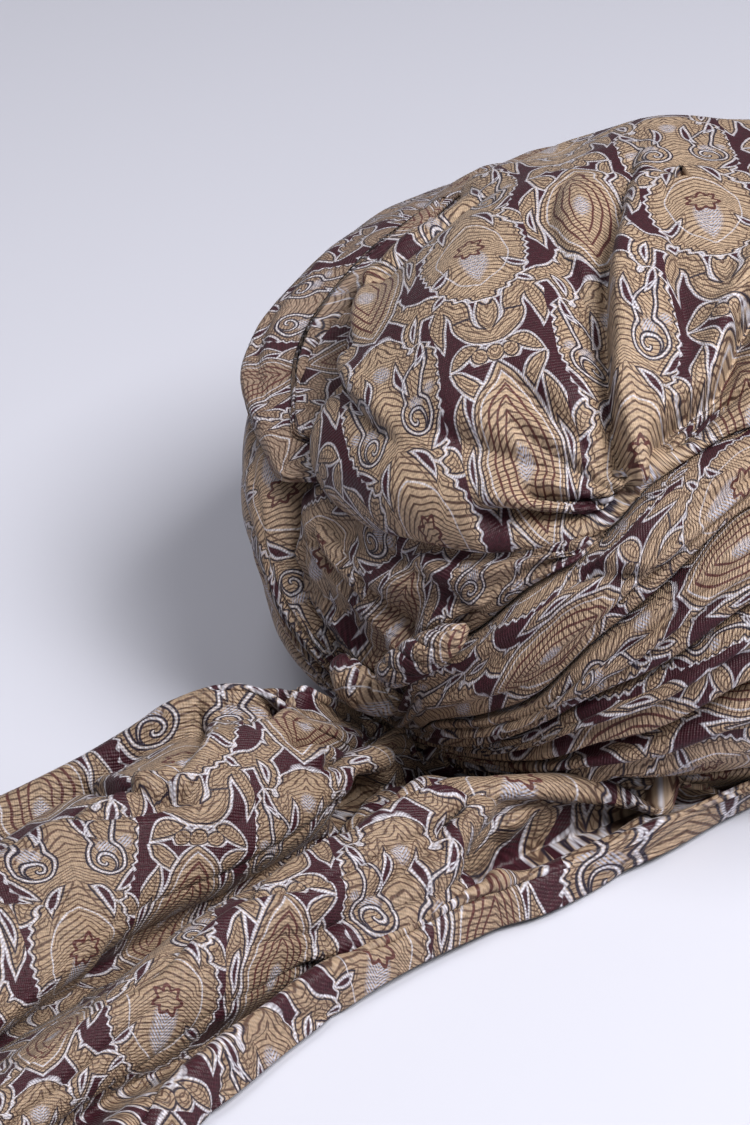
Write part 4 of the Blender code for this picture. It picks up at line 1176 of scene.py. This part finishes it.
print("turban: floor, light and camera")
studio = {
    "floor": 6.0,
    "floorColor": (0.53, 0.53, 0.595),
    "world": (0.78, 0.80, 0.90),
    "worldStrength": 0.19,
    "lights": (  # name, place, size, watts
        ("key", (-1.1, 0.0, 1.5), 0.9, 50.0),
        ("fill", (-1.5, 1.5, 0.9), 1.0, 5.0),
        ("top", (0.5, 0.3, 1.8), 1.0, 12.0),
    ),
    "aim": (0.0, 0.05, 0.05),
}
photo = {
    "width": 750, "height": 1125,
    "azimuth": 215, "elevation": 30, "distance": 1.0,
    "span": 0.236,  # metres across the frame at that distance
    "originX": 680, "originY": 609,  # where the photo has the middle of the head opening
}


def makeFloor():
    half = studio["floor"] / 2
    mesh = bpy.data.meshes.new("floor")
    corners = [(-half, -half, 0), (half, -half, 0), (half, half, 0), (-half, half, 0)]
    mesh.from_pydata(corners, [], [(0, 1, 2, 3)])
    floor = bpy.data.objects.new("floor", mesh)
    bpy.context.collection.objects.link(floor)
    material = bpy.data.materials.new("pale floor")
    material.use_nodes = True
    shader = material.node_tree.nodes["Principled BSDF"]
    shader.inputs["Base Color"].default_value = (*studio["floorColor"], 1)
    shader.inputs["Roughness"].default_value = 0.8
    mesh.materials.append(material)


def makeLights():
    world = bpy.data.worlds.new("studio")
    bpy.context.scene.world = world
    world.use_nodes = True
    sky = world.node_tree.nodes["Background"]
    sky.inputs["Color"].default_value = (*studio["world"], 1)
    sky.inputs["Strength"].default_value = studio["worldStrength"]
    for name, place, size, watts in studio["lights"]:
        light = bpy.data.lights.new(name, "AREA")
        light.size, light.energy = size, watts
        lamp = bpy.data.objects.new(name, light)
        bpy.context.collection.objects.link(lamp)
        lamp.location = place
        lamp.rotation_euler = (Vector(studio["aim"]) - Vector(place)).to_track_quat("-Z", "Y").to_euler()


def makeCamera():
    azimuth, elevation = math.radians(photo["azimuth"]), math.radians(photo["elevation"])
    back = Vector((math.sin(azimuth) * math.cos(elevation), -math.cos(azimuth) * math.cos(elevation),
                   math.sin(elevation)))
    right = Vector((math.cos(azimuth), math.sin(azimuth), 0))
    up = back.cross(right)
    focal = photo["width"] * photo["distance"] / photo["span"]  # in pixels of the photo
    aside = (photo["width"] / 2 - photo["originX"]) / focal
    lift = (photo["originY"] - photo["height"] / 2) / focal
    middle = (right * aside + up * lift - back).normalized()
    basis = Matrix((right, up, back)).transposed()
    data = bpy.data.cameras.new("camera")
    data.sensor_width = 36.0
    data.lens = data.sensor_width * focal / photo["height"]  # the sensor's width is the long side's
    data.clip_start = 0.01
    camera = bpy.data.objects.new("camera", data)
    bpy.context.collection.objects.link(camera)
    camera.location = back * photo["distance"]
    camera.rotation_mode = "QUATERNION"
    camera.rotation_quaternion = (-back).rotation_difference(middle) @ basis.to_quaternion()
    bpy.context.scene.camera = camera


makeFloor()
makeLights()
makeCamera()
bpy.context.scene.view_settings.view_transform = "Standard"
